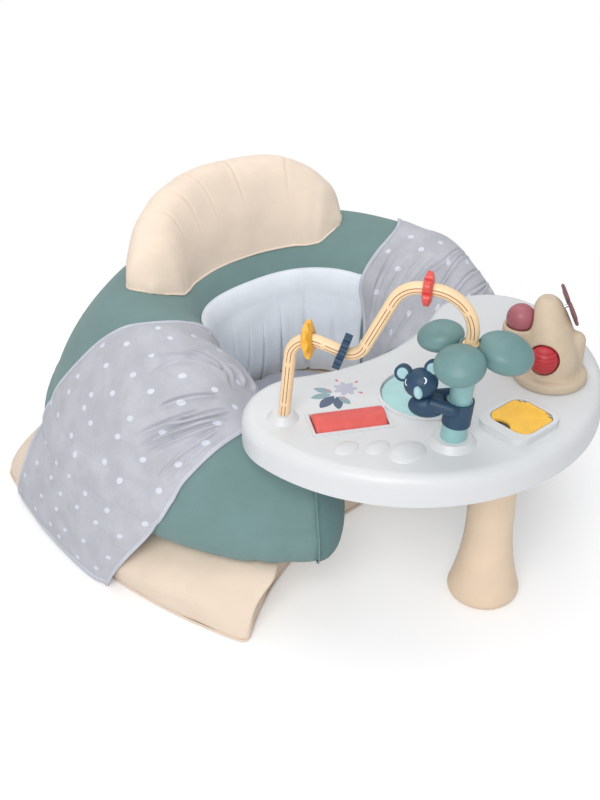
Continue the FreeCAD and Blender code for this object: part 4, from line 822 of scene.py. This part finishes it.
def plate(name, outer, z_low, z_high, hole=None):
    """A flat plate from an outline, with one hole if asked for."""
    bm = bmesh.new()
    edges = []
    for ring in (outer,) if hole is None else (outer, hole):
        verts = [bm.verts.new((x * MM, y * MM, z_low * MM)) for x, y in ring]
        edges += [bm.edges.new((verts[k], verts[(k + 1) % len(verts)])) for k in range(len(verts))]
    bmesh.ops.triangle_fill(bm, edges=edges, use_beauty=True)
    bmesh.ops.recalc_face_normals(bm, faces=bm.faces)
    grown = bmesh.ops.extrude_face_region(bm, geom=list(bm.faces))
    moved = [v for v in grown["geom"] if isinstance(v, bmesh.types.BMVert)]
    bmesh.ops.translate(bm, verts=moved, vec=(0, 0, (z_high - z_low) * MM))
    bmesh.ops.recalc_face_normals(bm, faces=bm.faces)
    mesh = bpy.data.meshes.new(name)
    bm.to_mesh(mesh)
    bm.free()
    return added(name, mesh)


def box_piece(name, boxes):
    """Many small boxes (centre, size) in one object."""
    signs = np.array([(x, y, z) for x in (-1, 1) for y in (-1, 1) for z in (-1, 1)])
    quads = np.array(((0, 1, 3, 2), (4, 6, 7, 5), (0, 4, 5, 1), (2, 3, 7, 6), (0, 2, 6, 4), (1, 5, 7, 3)))
    verts = [centre + signs * size / 2 for centre, size in boxes]
    faces = [quads + len(signs) * k for k in range(len(boxes))]
    thing = new_object(name, np.vstack(verts), np.vstack(faces))
    set_smooth(thing.data, False)
    return thing


def make_underside():
    """The cloth under the base, with the slide fastener's tapes and teeth in its opening."""
    outer = base_outline(base_shares(0.0), 1.5, 0.0, 280)[:, :2]
    slot = [(x * zip_half, zip_y + y * zip_gap / 2) for x, y in ((-1, -1), (1, -1), (1, 1), (-1, 1))]
    panel = plate("base_under_cloth", outer, *under_cloth, slot)
    dress(panel, "lining", "seat", "fabric_under", "base_bottom_panel")
    tapes = box_piece("zip_tapes", [((0.0, zip_y + s * 8.2, tape_z), tape_size) for s in (-1, 1)])
    dress(tapes, "tape", "seat", "zip_tape", "base_zip_tape")
    teeth = [((-145.0 + k * tooth_pitch, zip_y + (1.3 if k % 2 else -1.3), tooth_z), tooth_size)
             for k in range(tooth_count)]
    dress(box_piece("zip_teeth", teeth), "dark", "seat", "zip_tape")


make_underside()


# The headrest

def headrest_points(angle, height, width_share):
    """The headrest's section over the ring, from its inner foot to its outer foot."""
    middle = (headrest_inner + headrest_outer) / 2 - back_inset(angle)
    width = (headrest_outer - headrest_inner) * width_share
    foot = float(crest_z(angle, middle)) - headrest_sink
    rise = base_high + ring_high + headrest_rise * height - foot
    pts = [(middle + (u - 0.5) * width, foot + v * rise) for u, v in headrest_profile]
    return arc_chain(pts, headrest_counts)


def make_headrest():
    """The arched headrest: sections pulled down to the ring, folds from its crest, a welt round its foot."""
    shares = np.linspace(-1.035, 1.035, 190)
    marks = (0.0, 0.25, 0.50, 0.70, 0.86, 0.96, 1.0, 1.035)
    height_shares = (1.0, 0.99, 0.936, 0.82, 0.61, 0.38, 0.20, 0.07)
    width_shares = (1.0, 1.0, 1.0, 0.98, 0.96, 0.78, 0.47, 0.10)
    upper = sum(headrest_counts)
    rows, lifts = [], []
    for s in shares:
        angle = 90.0 + s * headrest_half
        height, width = (float(smooth(abs(s), marks, table)) for table in (height_shares, width_shares))
        section = blur(headrest_points(angle, height, width), 60)
        drop = max(0.0, section[0, 1] - float(crest_z(angle, section[0, 0])) + 4.0)
        near_foot = np.clip(1 - (section[:, 1] - section[0, 1]) / headrest_foot_reach, 0, 1)
        section[:, 1] -= drop * near_foot ** 2 * (np.arange(len(section)) < 40)
        section = np.vstack([section, straight(section[-1], section[0], 22)[1:]])
        ground = crest_z(angle, section[:, 0]) + 0.5
        lifts.append((section[:, 1] - ground)[:upper + 1])
        section[:, 1] = np.maximum(section[:, 1], ground)
        rows.append(turned(section, angle))
    p = np.stack(rows)
    n = round_normals(p, (95, 40))
    t = np.arange(p.shape[1])[None] / upper
    crown = np.exp(-((t - 0.44) / 0.15) ** 2) * (t < 1.0)
    s = shares[:, None]
    move = 1.1 * ripples(p, 60.0, 31) * ease(t, 0, 0.1) * (1 - ease(t, 0.9, 1.0))
    for k, (at, deep) in enumerate(gathers):
        lean = 0.16 * (t - 0.5) + 0.012 * np.sin(t * 9 + k)
        d = math.radians(headrest_half) * (s - at - lean) * 220.0
        fold = 0.30 * np.exp(-((d - 7.0) / 5.0) ** 2) - 0.62 * np.exp(-(d / 2.2) ** 2)
        move = move + deep * fold * crown
    fade = ease(1.03 - np.abs(s), 0.0, 0.12) * (p[:, :, 2] >= base_high)
    p = p + n * (np.where(t < 1.0, move, 0.0) * fade)[:, :, None]
    piece = grid_object("headrest_cushion", p, False, True, caps=(0, 1))
    # The headrest takes the lighter cream copy: painted light on the top cushion
    dress(piece, "cream_painted_light", "seat", "fabric_beige", "headrest_cover", "headrest_bladder")
    clear = np.stack(lifts) > 1.0
    first, last = clear.argmax(1), upper - clear[:, ::-1].argmax(1)
    start, end = np.flatnonzero(clear.any(1))[[2, -3]]
    k = np.arange(start, end + 1)
    rim = np.vstack([p[k, first[k]], p[end, first[end]:last[end]:4], p[k, last[k]][::-1],
                     p[start, last[start]:first[start]:-4]])
    rim = blur(resample(rim, 420, True), 6, True)
    rim[:, 2] = [crest_z(math.degrees(math.atan2(y, x)), math.hypot(x, y)) + 1.3 for x, y, _ in rim]
    # The welt takes the same lighter cream copy: painted light
    welt("headrest_welt", rim, welt_radius, "cream_painted_light", "fabric_beige")


make_headrest()


# The backrest and seat pads

def wall_radius(angle, z):
    """Radius of the ring's inner wall at a height."""
    pts = arc_chain(ring_points(angle, 0.0), ring_counts)[sum(ring_counts[:2]) + 20:]
    order = np.argsort(pts[:, 1])
    return np.interp(z, pts[order, 1], pts[order, 0])


def make_backrest():
    """The pleated pad on the ring's inner wall."""
    levels = np.linspace(0.0, 1.0, 60)
    floor = base_high + soft_gap
    pleats = np.arange(0.10, 0.95, 0.114)
    rng = np.random.default_rng(5)
    depth = rng.uniform(*pleat_depths, len(pleats))
    reach = rng.uniform(0.62, 0.88, len(pleats))
    front, back = [], []
    for share in np.linspace(0.0, 1.0, 420):
        angle = pad_turn * share + pad_start
        crown = math.sin(math.pi * share) ** 0.5
        low, high = floor + pad_foot, floor + pad_rise - pad_dip * crown
        z = low + levels * (high - low)
        wall = wall_radius(angle, z)
        edge = np.clip(np.sin(math.pi * (levels * 0.94 + 0.06)), 0, 1) ** 0.45
        swell = pad_thickness * (0.40 + 0.60 * crown) * edge * (0.94 + 0.06 * np.cos(levels * 3))
        ends = min(1.0, min(share, 1 - share) / 0.05) ** 0.5
        r = wall - 0.6 - swell * ends
        for at, deep, high_share in zip(pleats, depth, reach):
            bent = at + 0.010 * (levels - 0.2) * (1 if at < 0.5 else -1)
            d = (share - bent) * math.pi * 105.0
            fade = (1 - ease(levels, high_share * 0.35, high_share)) * ease(levels, -0.1, 0.04)
            valley = deep * np.exp(-(d / pleat_width) ** 2) * np.minimum(1.0, swell / 8.0)
            r = r + ends * fade * (valley - np.exp(-((abs(d) - 8.0) / 5.0) ** 2))
        front.append(turned(np.stack([np.minimum(r, wall - 0.5), z], 1), angle))
        back.append(turned(np.stack([wall - 0.4, z], 1), angle))
    front, back = np.stack(front), np.stack(back)
    n = outward(grid_normals(front), -front[200, 30] * (1, 1, 0), (200, 30))
    inside = np.sin(math.pi * levels)[None] ** 0.5
    front = front + n * (0.8 * ripples(front, 50.0, 41) * inside)[:, :, None]
    p = np.concatenate([front, back[:, ::-1]], 1)
    piece = grid_object("backrest_cushion", p, False, True, caps=(0, 1))
    dress(piece, "pad", "seat", "fabric_pad", "backrest_pad")
    rim = blur(front[4:-4, -1] - (0, 0, 0.4), 4)
    welt("backrest_welt", rim, thin_welt, "pad", "fabric_pad", False)


make_backrest()


def make_seat_pad():
    """The round pad at the bottom of the well, gathered to its middle."""
    low = base_high + soft_gap
    foot, shoulder = (seat_radius, 1.2), (seat_radius, 28.0)
    section = np.vstack([
        straight((1.0, 0.4), foot, 12),
        arc_chain([foot, (seat_bulge, 14.0), shoulder], (18,))[:-1],
        arc_chain([shoulder, (46.0, 38.6), (1.0, 41.6)], (34,)),
    ])
    angles = np.arange(180) * 2.0
    p = seat_centre + np.stack([turned(section + (0.0, low), a) for a in angles], 1)
    n = round_normals(p, (20, 10))
    r, a = section[:, :1], np.radians(angles)[None]
    above = (np.arange(len(section)) > 16)[:, None]
    rays = np.sin(a * 15 + 1.4 * np.sin(a * 4)) * np.exp(-np.abs(r - 88.0) / 13.0)
    dip = -3.2 * np.exp(-(r / 9.0) ** 2)
    move = (0.9 * ripples(p, 45.0, 51) + 1.1 * rays + dip) * above
    p = p + n * np.minimum(move, 1.5)[:, :, None]
    piece = grid_object("seat_cushion", p, False, True, caps=(0, 1))
    dress(piece, "seat", "seat", "fabric_pad", "seat_pad")
    rim = seat_centre + np.vstack([turned(np.array(((94.4, low + 14.0),)), a) for a in angles])
    welt("seat_welt", rim, welt_radius, "seat", "fabric_pad")


make_seat_pad()


# The polka-dot bands

def base_side_radius(angle):
    """How far out the base's side reaches at an angle, over its lower levels."""
    a = math.radians(angle)
    way = np.array((math.cos(a), math.sin(a)))
    reach = 0.0
    for _, front, back, side, *_ in base_levels[:3]:
        centre, radius = circle_through(
            np.array((front_corner[0] * front, -front_corner[1])),
            np.array((base_side[0] * side, base_side[1])),
            np.array((back_corner[0] * back, back_corner[1] * back)))
        along = way @ centre
        reach = max(reach, along + math.sqrt(along ** 2 - centre @ centre + radius ** 2))
    return reach


def hull_section(angle, grow):
    """The outline that the band lies on: up the base's side, over the arm and down inside it."""
    ring = ring_points(angle, grow)
    centre, radius = circle_through(*ring[:3])
    widest = (centre[0] + radius, centre[1])
    turn = math.atan2(*(ring[2] - centre)[::-1]) / 2
    shoulder = centre + radius * np.array((math.cos(turn), math.sin(turn)))
    side = base_side_radius(angle) + grow
    pts = [np.array(q) for q in ((side, 1.0), (side + 1.0, base_high * 0.42), widest, shoulder)]
    low = (ring[-1][0], 60.0)
    return np.vstack([arc_chain(pts + list(ring[2:]), hull_counts), straight(ring[-1], low, 20)[1:]])


band_angles = np.arange(-54.5, 50.0, band_step)
hull_table = np.stack([hull_section(a, band_cover) for a in band_angles])


def hull_at(angle, j):
    """Points of the hull's outlines number j at some angles, between the table's rows."""
    f = (angle - band_angles[0]) / band_step
    i = np.clip(np.floor(f).astype(int), 0, len(band_angles) - 2)
    w = (f - i)[..., None]
    return hull_table[i, j] * (1 - w) + hull_table[i + 1, j] * w


def band_edges():
    """Angles of the front and back hem at each step along the band, from the floor up and into the well."""
    share = np.linspace(0, 1, hull_table.shape[1])
    wide = np.column_stack([smooth(share, *np.transpose(hem)) for hem in (front_hem, back_hem)])
    return blur(wide, 20).T


def crease(x, y, points, high):
    """A pinched fold along a line on the cloth: a ridge with a narrow valley beside it."""
    points = np.asarray(points, float)
    run = run_along(points)
    at = np.linspace(0, run[-1], 70)
    line = np.stack([smooth(at, run, points[:, 0]), smooth(at, run, points[:, 1])], 1)
    low, top = line.min(0) - 25, line.max(0) + 25
    near = (x > low[0]) & (x < top[0]) & (y > low[1]) & (y < top[1])
    gap = np.stack([x[near], y[near]], 1)[:, None] - line[None]
    far = np.linalg.norm(gap, axis=2)
    i = far.argmin(1)
    ahead = np.gradient(line, axis=0)[i]
    off = gap[np.arange(len(i)), i]
    d = np.sign(ahead[:, 0] * off[:, 1] - ahead[:, 1] * off[:, 0]) * far.min(1) / crease_width
    share = at[i] / run[-1]
    fade = ease(share, 0.0, 0.3) * (1 - ease(share, 0.75, 1.0))
    height = np.zeros_like(x)
    height[near] = fade * high * (0.9 * np.exp(-(d - 1) ** 2) - 1.1 * np.exp(-((d + 0.3) / 0.55) ** 2))
    return height


def grid_runs(p, axis):
    """Length along one axis of a grid of points, from 0 at its start."""
    return np.insert(np.cumsum(np.linalg.norm(np.diff(p, axis=axis), axis=2), axis), 0, 0.0, axis)


def make_band(side, seed):
    """One polka-dot band with its hems and stitches, shaped on the right arm and mirrored for the left."""
    front, back = band_edges()
    across = np.linspace(0, 1, band_columns)
    angles = (front[:, None] + (back - front)[:, None] * across)[:-band_end_steps]
    p = np.stack([turned(hull_at(row, j), row) for j, row in enumerate(angles)])
    along, cross = grid_runs(p, 0), grid_runs(p, 1)
    mid = p[band_spot]
    n = outward(grid_normals(p), mid - (mid[0] * 0.65, mid[1] * 0.65, 150.0), band_spot)
    x = cross - cross[:, 95:96]
    move = 1.4 * ripples(np.stack([x, along], 2), 120.0, seed + 1) + band_slack
    # Creases that fan out from where the band dips into the well, beside the table
    creases, strength = (far_creases, 1.1) if side > 0 else (near_creases, 2.7)
    for points, high in creases:
        move = move + crease(x, along, points, strength * high)
    # Slack near the floor
    move = move + 1.2 * (1 - ease(along, 0, 110)) * np.sin(x / 27.0 + along / 40.0)
    hem = np.minimum(across, 1 - across)[None] * 240.0
    move = np.clip(move * (0.12 + 0.88 * ease(hem, 0, 26)), *band_lift)
    p = p + n * move[:, :, None]
    p[:, :, 2] = np.maximum(p[:, :, 2], band_lowest)
    uv = np.stack([cross + 37.0 * seed, along + 11.0 * seed], 2)
    uv = np.pad(uv, ((0, 1), (0, 1), (0, 0)), mode="edge")
    up = outward(grid_normals(p), n[band_spot], band_spot)
    mirror = np.array((side, 1.0, 1.0))
    word = "right" if side > 0 else "left"
    piece = grid_object(f"dotted_band_{word}", p * mirror, uv=uv, flip=side < 0)
    thick = piece.modifiers.new("cloth", "SOLIDIFY")
    thick.thickness = band_thickness * MM
    thick.offset = -1.0 if is_outward(piece, mid * mirror, n[band_spot] * mirror) else 1.0
    apply_modifiers(piece)
    dress(piece, "dots", "seat", "fabric_dots", f"arm_band_{word}")
    for label, col, to in (("front", 2, 1), ("back", band_columns - 3, -1)):
        line, rise = p[:, col], up[:, col]
        hem = ribbon(f"band_hem_{word}_{label}", (line + rise * 0.3) * mirror, rise * mirror, *hem_size)
        dress(hem, "hem", "seat", "fabric_dots")
        inward = unit(p[:, col + 4 * to] - line)
        sewn = (line + rise * 1.6 + inward * 1.8)[3:-2] * mirror
        stitch = stitches(f"hem_stitch_{word}_{label}", sewn, stitch_pitch, stitch_radius)
        dress(stitch, "thread", "seat", "fabric_dots")
    line, rise = p[2, 2:-2], up[2, 2:-2]
    foot = ribbon(f"band_hem_{word}_foot", (line + rise * 0.3) * mirror, rise * mirror, *foot_hem_size)
    dress(foot, "hem", "seat", "fabric_dots")


def is_outward(piece, spot, way):
    """Whether the face nearest to a point looks along a direction."""
    near = min(piece.data.polygons, key=lambda f: (f.center - Vector(spot * MM)).length)
    return near.normal @ Vector(way) > 0


def apply_modifiers(piece):
    """Swaps a piece's mesh for the one that its modifiers make."""
    made = final_mesh(piece)
    old = piece.data
    piece.modifiers.clear()
    piece.data = made
    bpy.data.meshes.remove(old)
    made.name = piece.name


def stitches(name, line, pitch, radius):
    """A row of short stitches along a line, each a small pill."""
    run = run_along(line)
    count = int(run[-1] / pitch)
    sides = 5
    ring = round_profile(radius, sides)
    verts, faces = [], []
    for k in range(count):
        at = run[-1] * (k + np.array((0.15, 0.5, 0.85))) / count
        pts = np.stack([np.interp(at, run, line[:, c]) for c in range(3)], 1)
        way = unit(pts[2] - pts[0])
        a = unit(np.cross(way, (0.3, 0.2, 1.0)))
        b = np.cross(way, a)
        first = len(verts)
        for point, r in zip(pts, (0.3, 1.0, 0.3)):
            verts += list(point + r * (ring[:, :1] * a + ring[:, 1:] * b))
        for row in (first, first + sides):
            for m in range(sides):
                i, j = row + m, row + (m + 1) % sides
                faces.append([i, j, j + sides, i + sides])
        faces.append([first + m for m in reversed(range(sides))])
        faces.append([first + 2 * sides + m for m in range(sides)])
    return new_object(name, verts, faces)


make_band(1, 61)
make_band(-1, 71)


# The bead rail

def rail_line():
    """Centre points of the rail, and the direction across its upright plane."""
    foot = np.array((*post, tray_z))
    end = trunk_foot + trunk_way * rail_end
    flat = (end - foot) * (1.0, 1.0, 0.0)
    up = np.array((0.0, 0.0, 1.0))
    corners = [foot + flat * u + up * (v * rail_rise) for u, v in rail_corners]
    points = [foot - up * 12.0] + corners + [end]
    line = []
    last = points[0]
    for i, radius in enumerate(rail_bends):
        before, after = unit(points[i] - corners[i]), unit(points[i + 2] - corners[i])
        half = math.acos(before @ after) / 2
        reach = radius / math.tan(half)
        first, second = corners[i] + before * reach, corners[i] + after * reach
        centre = corners[i] + unit(before + after) * (radius / math.sin(half))
        a, b = first - centre, second - centre
        turn = math.acos(np.clip(a @ b / radius ** 2, -1, 1))
        line += list(straight(last, first, max(2, int(np.linalg.norm(first - last) / 2))))
        for t in np.arange(0, 1, 2.0 / (turn * radius)):
            line.append(centre + (a * math.sin((1 - t) * turn) + b * math.sin(t * turn)) / math.sin(turn))
        last = second
    line += list(straight(last, end, 8)) + [end]
    return resample(np.array(line), 330), np.cross(unit(flat), up)


def make_rail():
    """The bead rail with two pairs of grooves, their dark marks and its moulded joints."""
    line, across = rail_line()
    t = round_steps(72)
    radius = np.full(len(t), rail_radius)
    for turn in groove_turns:
        d = np.abs((t - turn + math.pi) % math.tau - math.pi)
        radius -= groove_depth * np.exp(-(d / 0.075) ** 2)
    profile = np.stack([radius * np.cos(t), radius * np.sin(t)], 1)
    dress(sweep("rail_track", line, profile, side=across), "rail", "table", "rail_cream", "bead_rail")
    run = run_along(line)
    joints = run[-1] * np.array((0.035, 0.085, 0.22, 0.37, 0.51, 0.65, 0.78, 0.90, 0.985))
    marks = []
    for a, b in zip(joints[:-1], joints[1:]):
        part = line[(run > a + 2.2) & (run < b - 2.2)]
        up = np.cross(across, unit(np.gradient(part, axis=0)))
        for turn in groove_turns:
            out = across * math.cos(turn) + up * math.sin(turn)
            name = f"rail_groove_{len(marks)}"
            marks.append(ribbon(name, part + out * (rail_radius - 0.62), out, *groove_mark))
    join_into(marks, "rail_grooves")
    dress(marks[0], "groove", "table", "rail_cream")
    rings = []
    for k, at in enumerate(joints[1:-1]):
        i = int(np.argmin(np.abs(run - at)))
        up = np.cross(across, unit(line[i + 1] - line[i - 1]))
        loop = line[i] + (rail_radius - 0.02) * (np.cos(t)[:, None] * across + np.sin(t)[:, None] * up)
        rings.append(sweep(f"rail_joint_{k}", loop, round_profile(joint_radius, 6), True))
    join_into(rings, "rail_joints")
    dress(rings[0], "rail", "table", "rail_cream")


make_rail()


# Moulded toys with blended joins

mound = remeshed("mound", 1.5, 26, "mound_skin")
dress(mound, "mound", "table", "mound_beige", "mound")
koala_body = remeshed("koala_body", 1.2, 10, "koala_body_skin")
dress(koala_body, "navy", "koala", "navy", "koala_body")


def make_eyes():
    """Two small white crescents on the koala's face."""
    reach = np.array((math.cos(koala_turn), math.sin(koala_turn), 0.0)) * head_reach
    centre = trunk_foot + trunk_way * head_height + reach
    turn = Matrix.Identity(3)
    for angle, axis in ((-63.0, "Z"), (-15.0, "X"), (-20.0, "Y")):
        turn = turn @ Matrix.Rotation(math.radians(angle), 3, axis)
    turn = np.array(turn)
    deep, radii = head_radii[1], np.array(head_radii)
    t = np.radians(np.linspace(-75, 75, 24))
    wide = 0.15 + 0.75 * np.cos(t) ** 0.7
    ring = round_steps(12)
    eyes = []
    for k, (x, z, open_way) in enumerate(((-13.0, 5.6, -1), (9.6, 5.2, 1))):
        plan = np.stack([x + open_way * (3.2 * np.cos(t) - 1.6), z + 3.4 * np.sin(t)], 1)
        depth = -deep * np.sqrt(1 - np.sum((plan / radii[[0, 2]]) ** 2, 1))
        local = np.stack([plan[:, 0], depth, plan[:, 1]], 1)
        line, normals = centre + local @ turn.T, unit(local / radii ** 2) @ turn.T
        side = np.cross(unit(np.gradient(line, axis=0)), normals)
        eyes.append(tube(f"koala_eye_{k}", line, side, normals, wide[:, None] * np.cos(ring),
                         0.3 * np.sin(ring)))
    join_into(eyes, "koala_eyes")
    dress(eyes[0], "eye", "koala", "koala_pale")


make_eyes()


# The print on the tray

def leaf_print(name, centre, length, width, turn, finish, z):
    """A thin printed leaf on the tray."""
    t = np.linspace(0, 1, 14)
    half = width / 2 * np.sin(math.pi * t) ** 0.8
    edge, other = np.column_stack([t * length, half]), np.column_stack([t * length, -half])
    outline = np.vstack([edge, other[::-1][1:-1]])
    a = math.radians(turn)
    spin = np.array(((math.cos(a), math.sin(a)), (-math.sin(a), math.cos(a))))
    dress(plate(name, centre + outline @ spin, z, z + 0.12), finish, "table", "tray_white")


def make_print():
    """A plain sprig of leaves and a small flower, printed on the tray."""
    sprig = np.array((-122.0, -229.0))
    flower = sprig + (18.0, 1.0)
    low, step = tray_z + 0.05, 0.02
    leaves = (
        ((-4, -2), 32, 15, 196, "print_slate"), ((-4, 3), 27, 12, 158, "print_teal"),
        ((-2, -6), 28, 12, 232, "print_slate"), ((0, 5), 25, 11, 118, "print_teal"),
        ((0, -7), 22, 10, 268, "print_teal"),
    )
    for k, (at, length, width, turn, finish) in enumerate(leaves):
        leaf_print(f"print_leaf_{k}", sprig + at, length, width, turn, finish, low + step * k)
    for k in range(7):
        leaf_print(f"print_petal_{k}", flower, 16, 8.5, k * 360 / 7 + 12, "print_lilac", low + step * k)
    for k in range(5):
        way = k * 1.25 - 2.4
        at = flower + 18 * np.array((math.cos(way), math.sin(way)))
        leaf_print(f"print_bud_{k}", at, 6.5, 3.4, math.degrees(way), "print_coral", tray_z + 0.22)


make_print()


# Floor, light and camera

def make_floor():
    """A pale floor that takes the shadow and fades to plain white away from the part."""
    size = 6.0
    mesh = bpy.data.meshes.new("floor")
    mesh.from_pydata([(x * size, y * size, 0) for x, y in ((-1, -1), (1, -1), (1, 1), (-1, 1))], [],
                     [(0, 1, 2, 3)])
    floor = added("floor", mesh)
    floor.location.z = -0.0004
    f = Finish("floor_pale", rough=0.9, Base_Color=(0.90, 0.90, 0.91, 1.0), Specular_IOR_Level=0.1)
    matt = f.bsdf.outputs[0]
    glow, white = (f.node("ShaderNodeEmission", Strength=power).outputs[0] for power in (0.22, 1.0))
    near = f.node("ShaderNodeAddShader", (0, matt), (1, glow)).outputs[0]
    reach = f.node("ShaderNodeVectorMath", (0, f.place()), operation="LENGTH").outputs["Value"]
    away = f.node("ShaderNodeMixShader", (0, f.span(reach, 0.45, 0.95)), (1, near), (2, white)).outputs[0]
    seen = f.node("ShaderNodeLightPath").outputs["Is Camera Ray"]
    pick = f.node("ShaderNodeMixShader", (0, seen), (1, matt), (2, away)).outputs[0]
    out = next(n for n in f.tree.nodes if n.type == "OUTPUT_MATERIAL")
    f.tree.links.new(pick, out.inputs[0])
    floor.data.materials.append(f.mat)


make_floor()


def make_world():
    """Soft light from all sides, and plain white where the camera looks past the floor."""
    world = bpy.data.worlds.new("studio")
    bpy.context.scene.world = world
    world.use_nodes = True
    tree = world.node_tree
    tree.nodes.clear()
    seen = add_node(tree, "ShaderNodeLightPath").outputs["Is Camera Ray"]
    soft = add_node(tree, "ShaderNodeBackground", Color=(0.97, 0.985, 1.0, 1.0), Strength=0.55)
    white = add_node(tree, "ShaderNodeBackground", Color=(1.0, 1.0, 1.0, 1.0), Strength=1.0)
    pick = add_node(tree, "ShaderNodeMixShader", (0, seen), (1, soft.outputs[0]), (2, white.outputs[0]))
    add_node(tree, "ShaderNodeOutputWorld", (0, pick.outputs[0]))


make_world()


def aim(thing, way):
    """Turns a lamp or camera to look along a direction."""
    thing.rotation_mode = "QUATERNION"
    thing.rotation_quaternion = way.to_track_quat("-Z", "Y")


def lamp(name, place, target, size, power, colour=(1.0, 1.0, 1.0)):
    """A round lamp, in metres and watts."""
    data = bpy.data.lights.new(name, "AREA")
    data.shape = "DISK"
    data.size = size
    data.energy = power
    data.color = colour
    thing = added(name, data)
    thing.location = place
    aim(thing, Vector(target) - Vector(place))


lamp("key", (-1.6, -1.3, 1.8), (0.0, -0.05, 0.2), 1.5, 30.0, (1.0, 0.99, 0.97))
lamp("top", (0.2, 0.1, 2.6), (0.0, -0.05, 0.2), 2.0, 12.0)
lamp("back", (0.6, 1.7, 2.0), (0.0, 0.1, 0.3), 1.6, 6.0)


def make_camera():
    """The photograph's camera: its focal length in pixels, its direction and its place."""
    focal, picture_height, sensor = 1177.26, 800.0, 36.0
    azimuth, elevation = math.radians(-41.084), math.radians(33.523)
    back = Vector((math.sin(azimuth) * math.cos(elevation), -math.cos(azimuth) * math.cos(elevation),
                   math.sin(elevation)))
    data = bpy.data.cameras.new("camera")
    data.sensor_width = sensor
    data.lens = focal / picture_height * sensor
    data.clip_end = 50.0
    camera = added("camera", data)
    camera.location = Vector((-959.8, -1123.6, 1084.7)) * MM
    aim(camera, -back)
    bpy.context.scene.camera = camera


make_camera()
bpy.context.scene.view_settings.view_transform = "Standard"
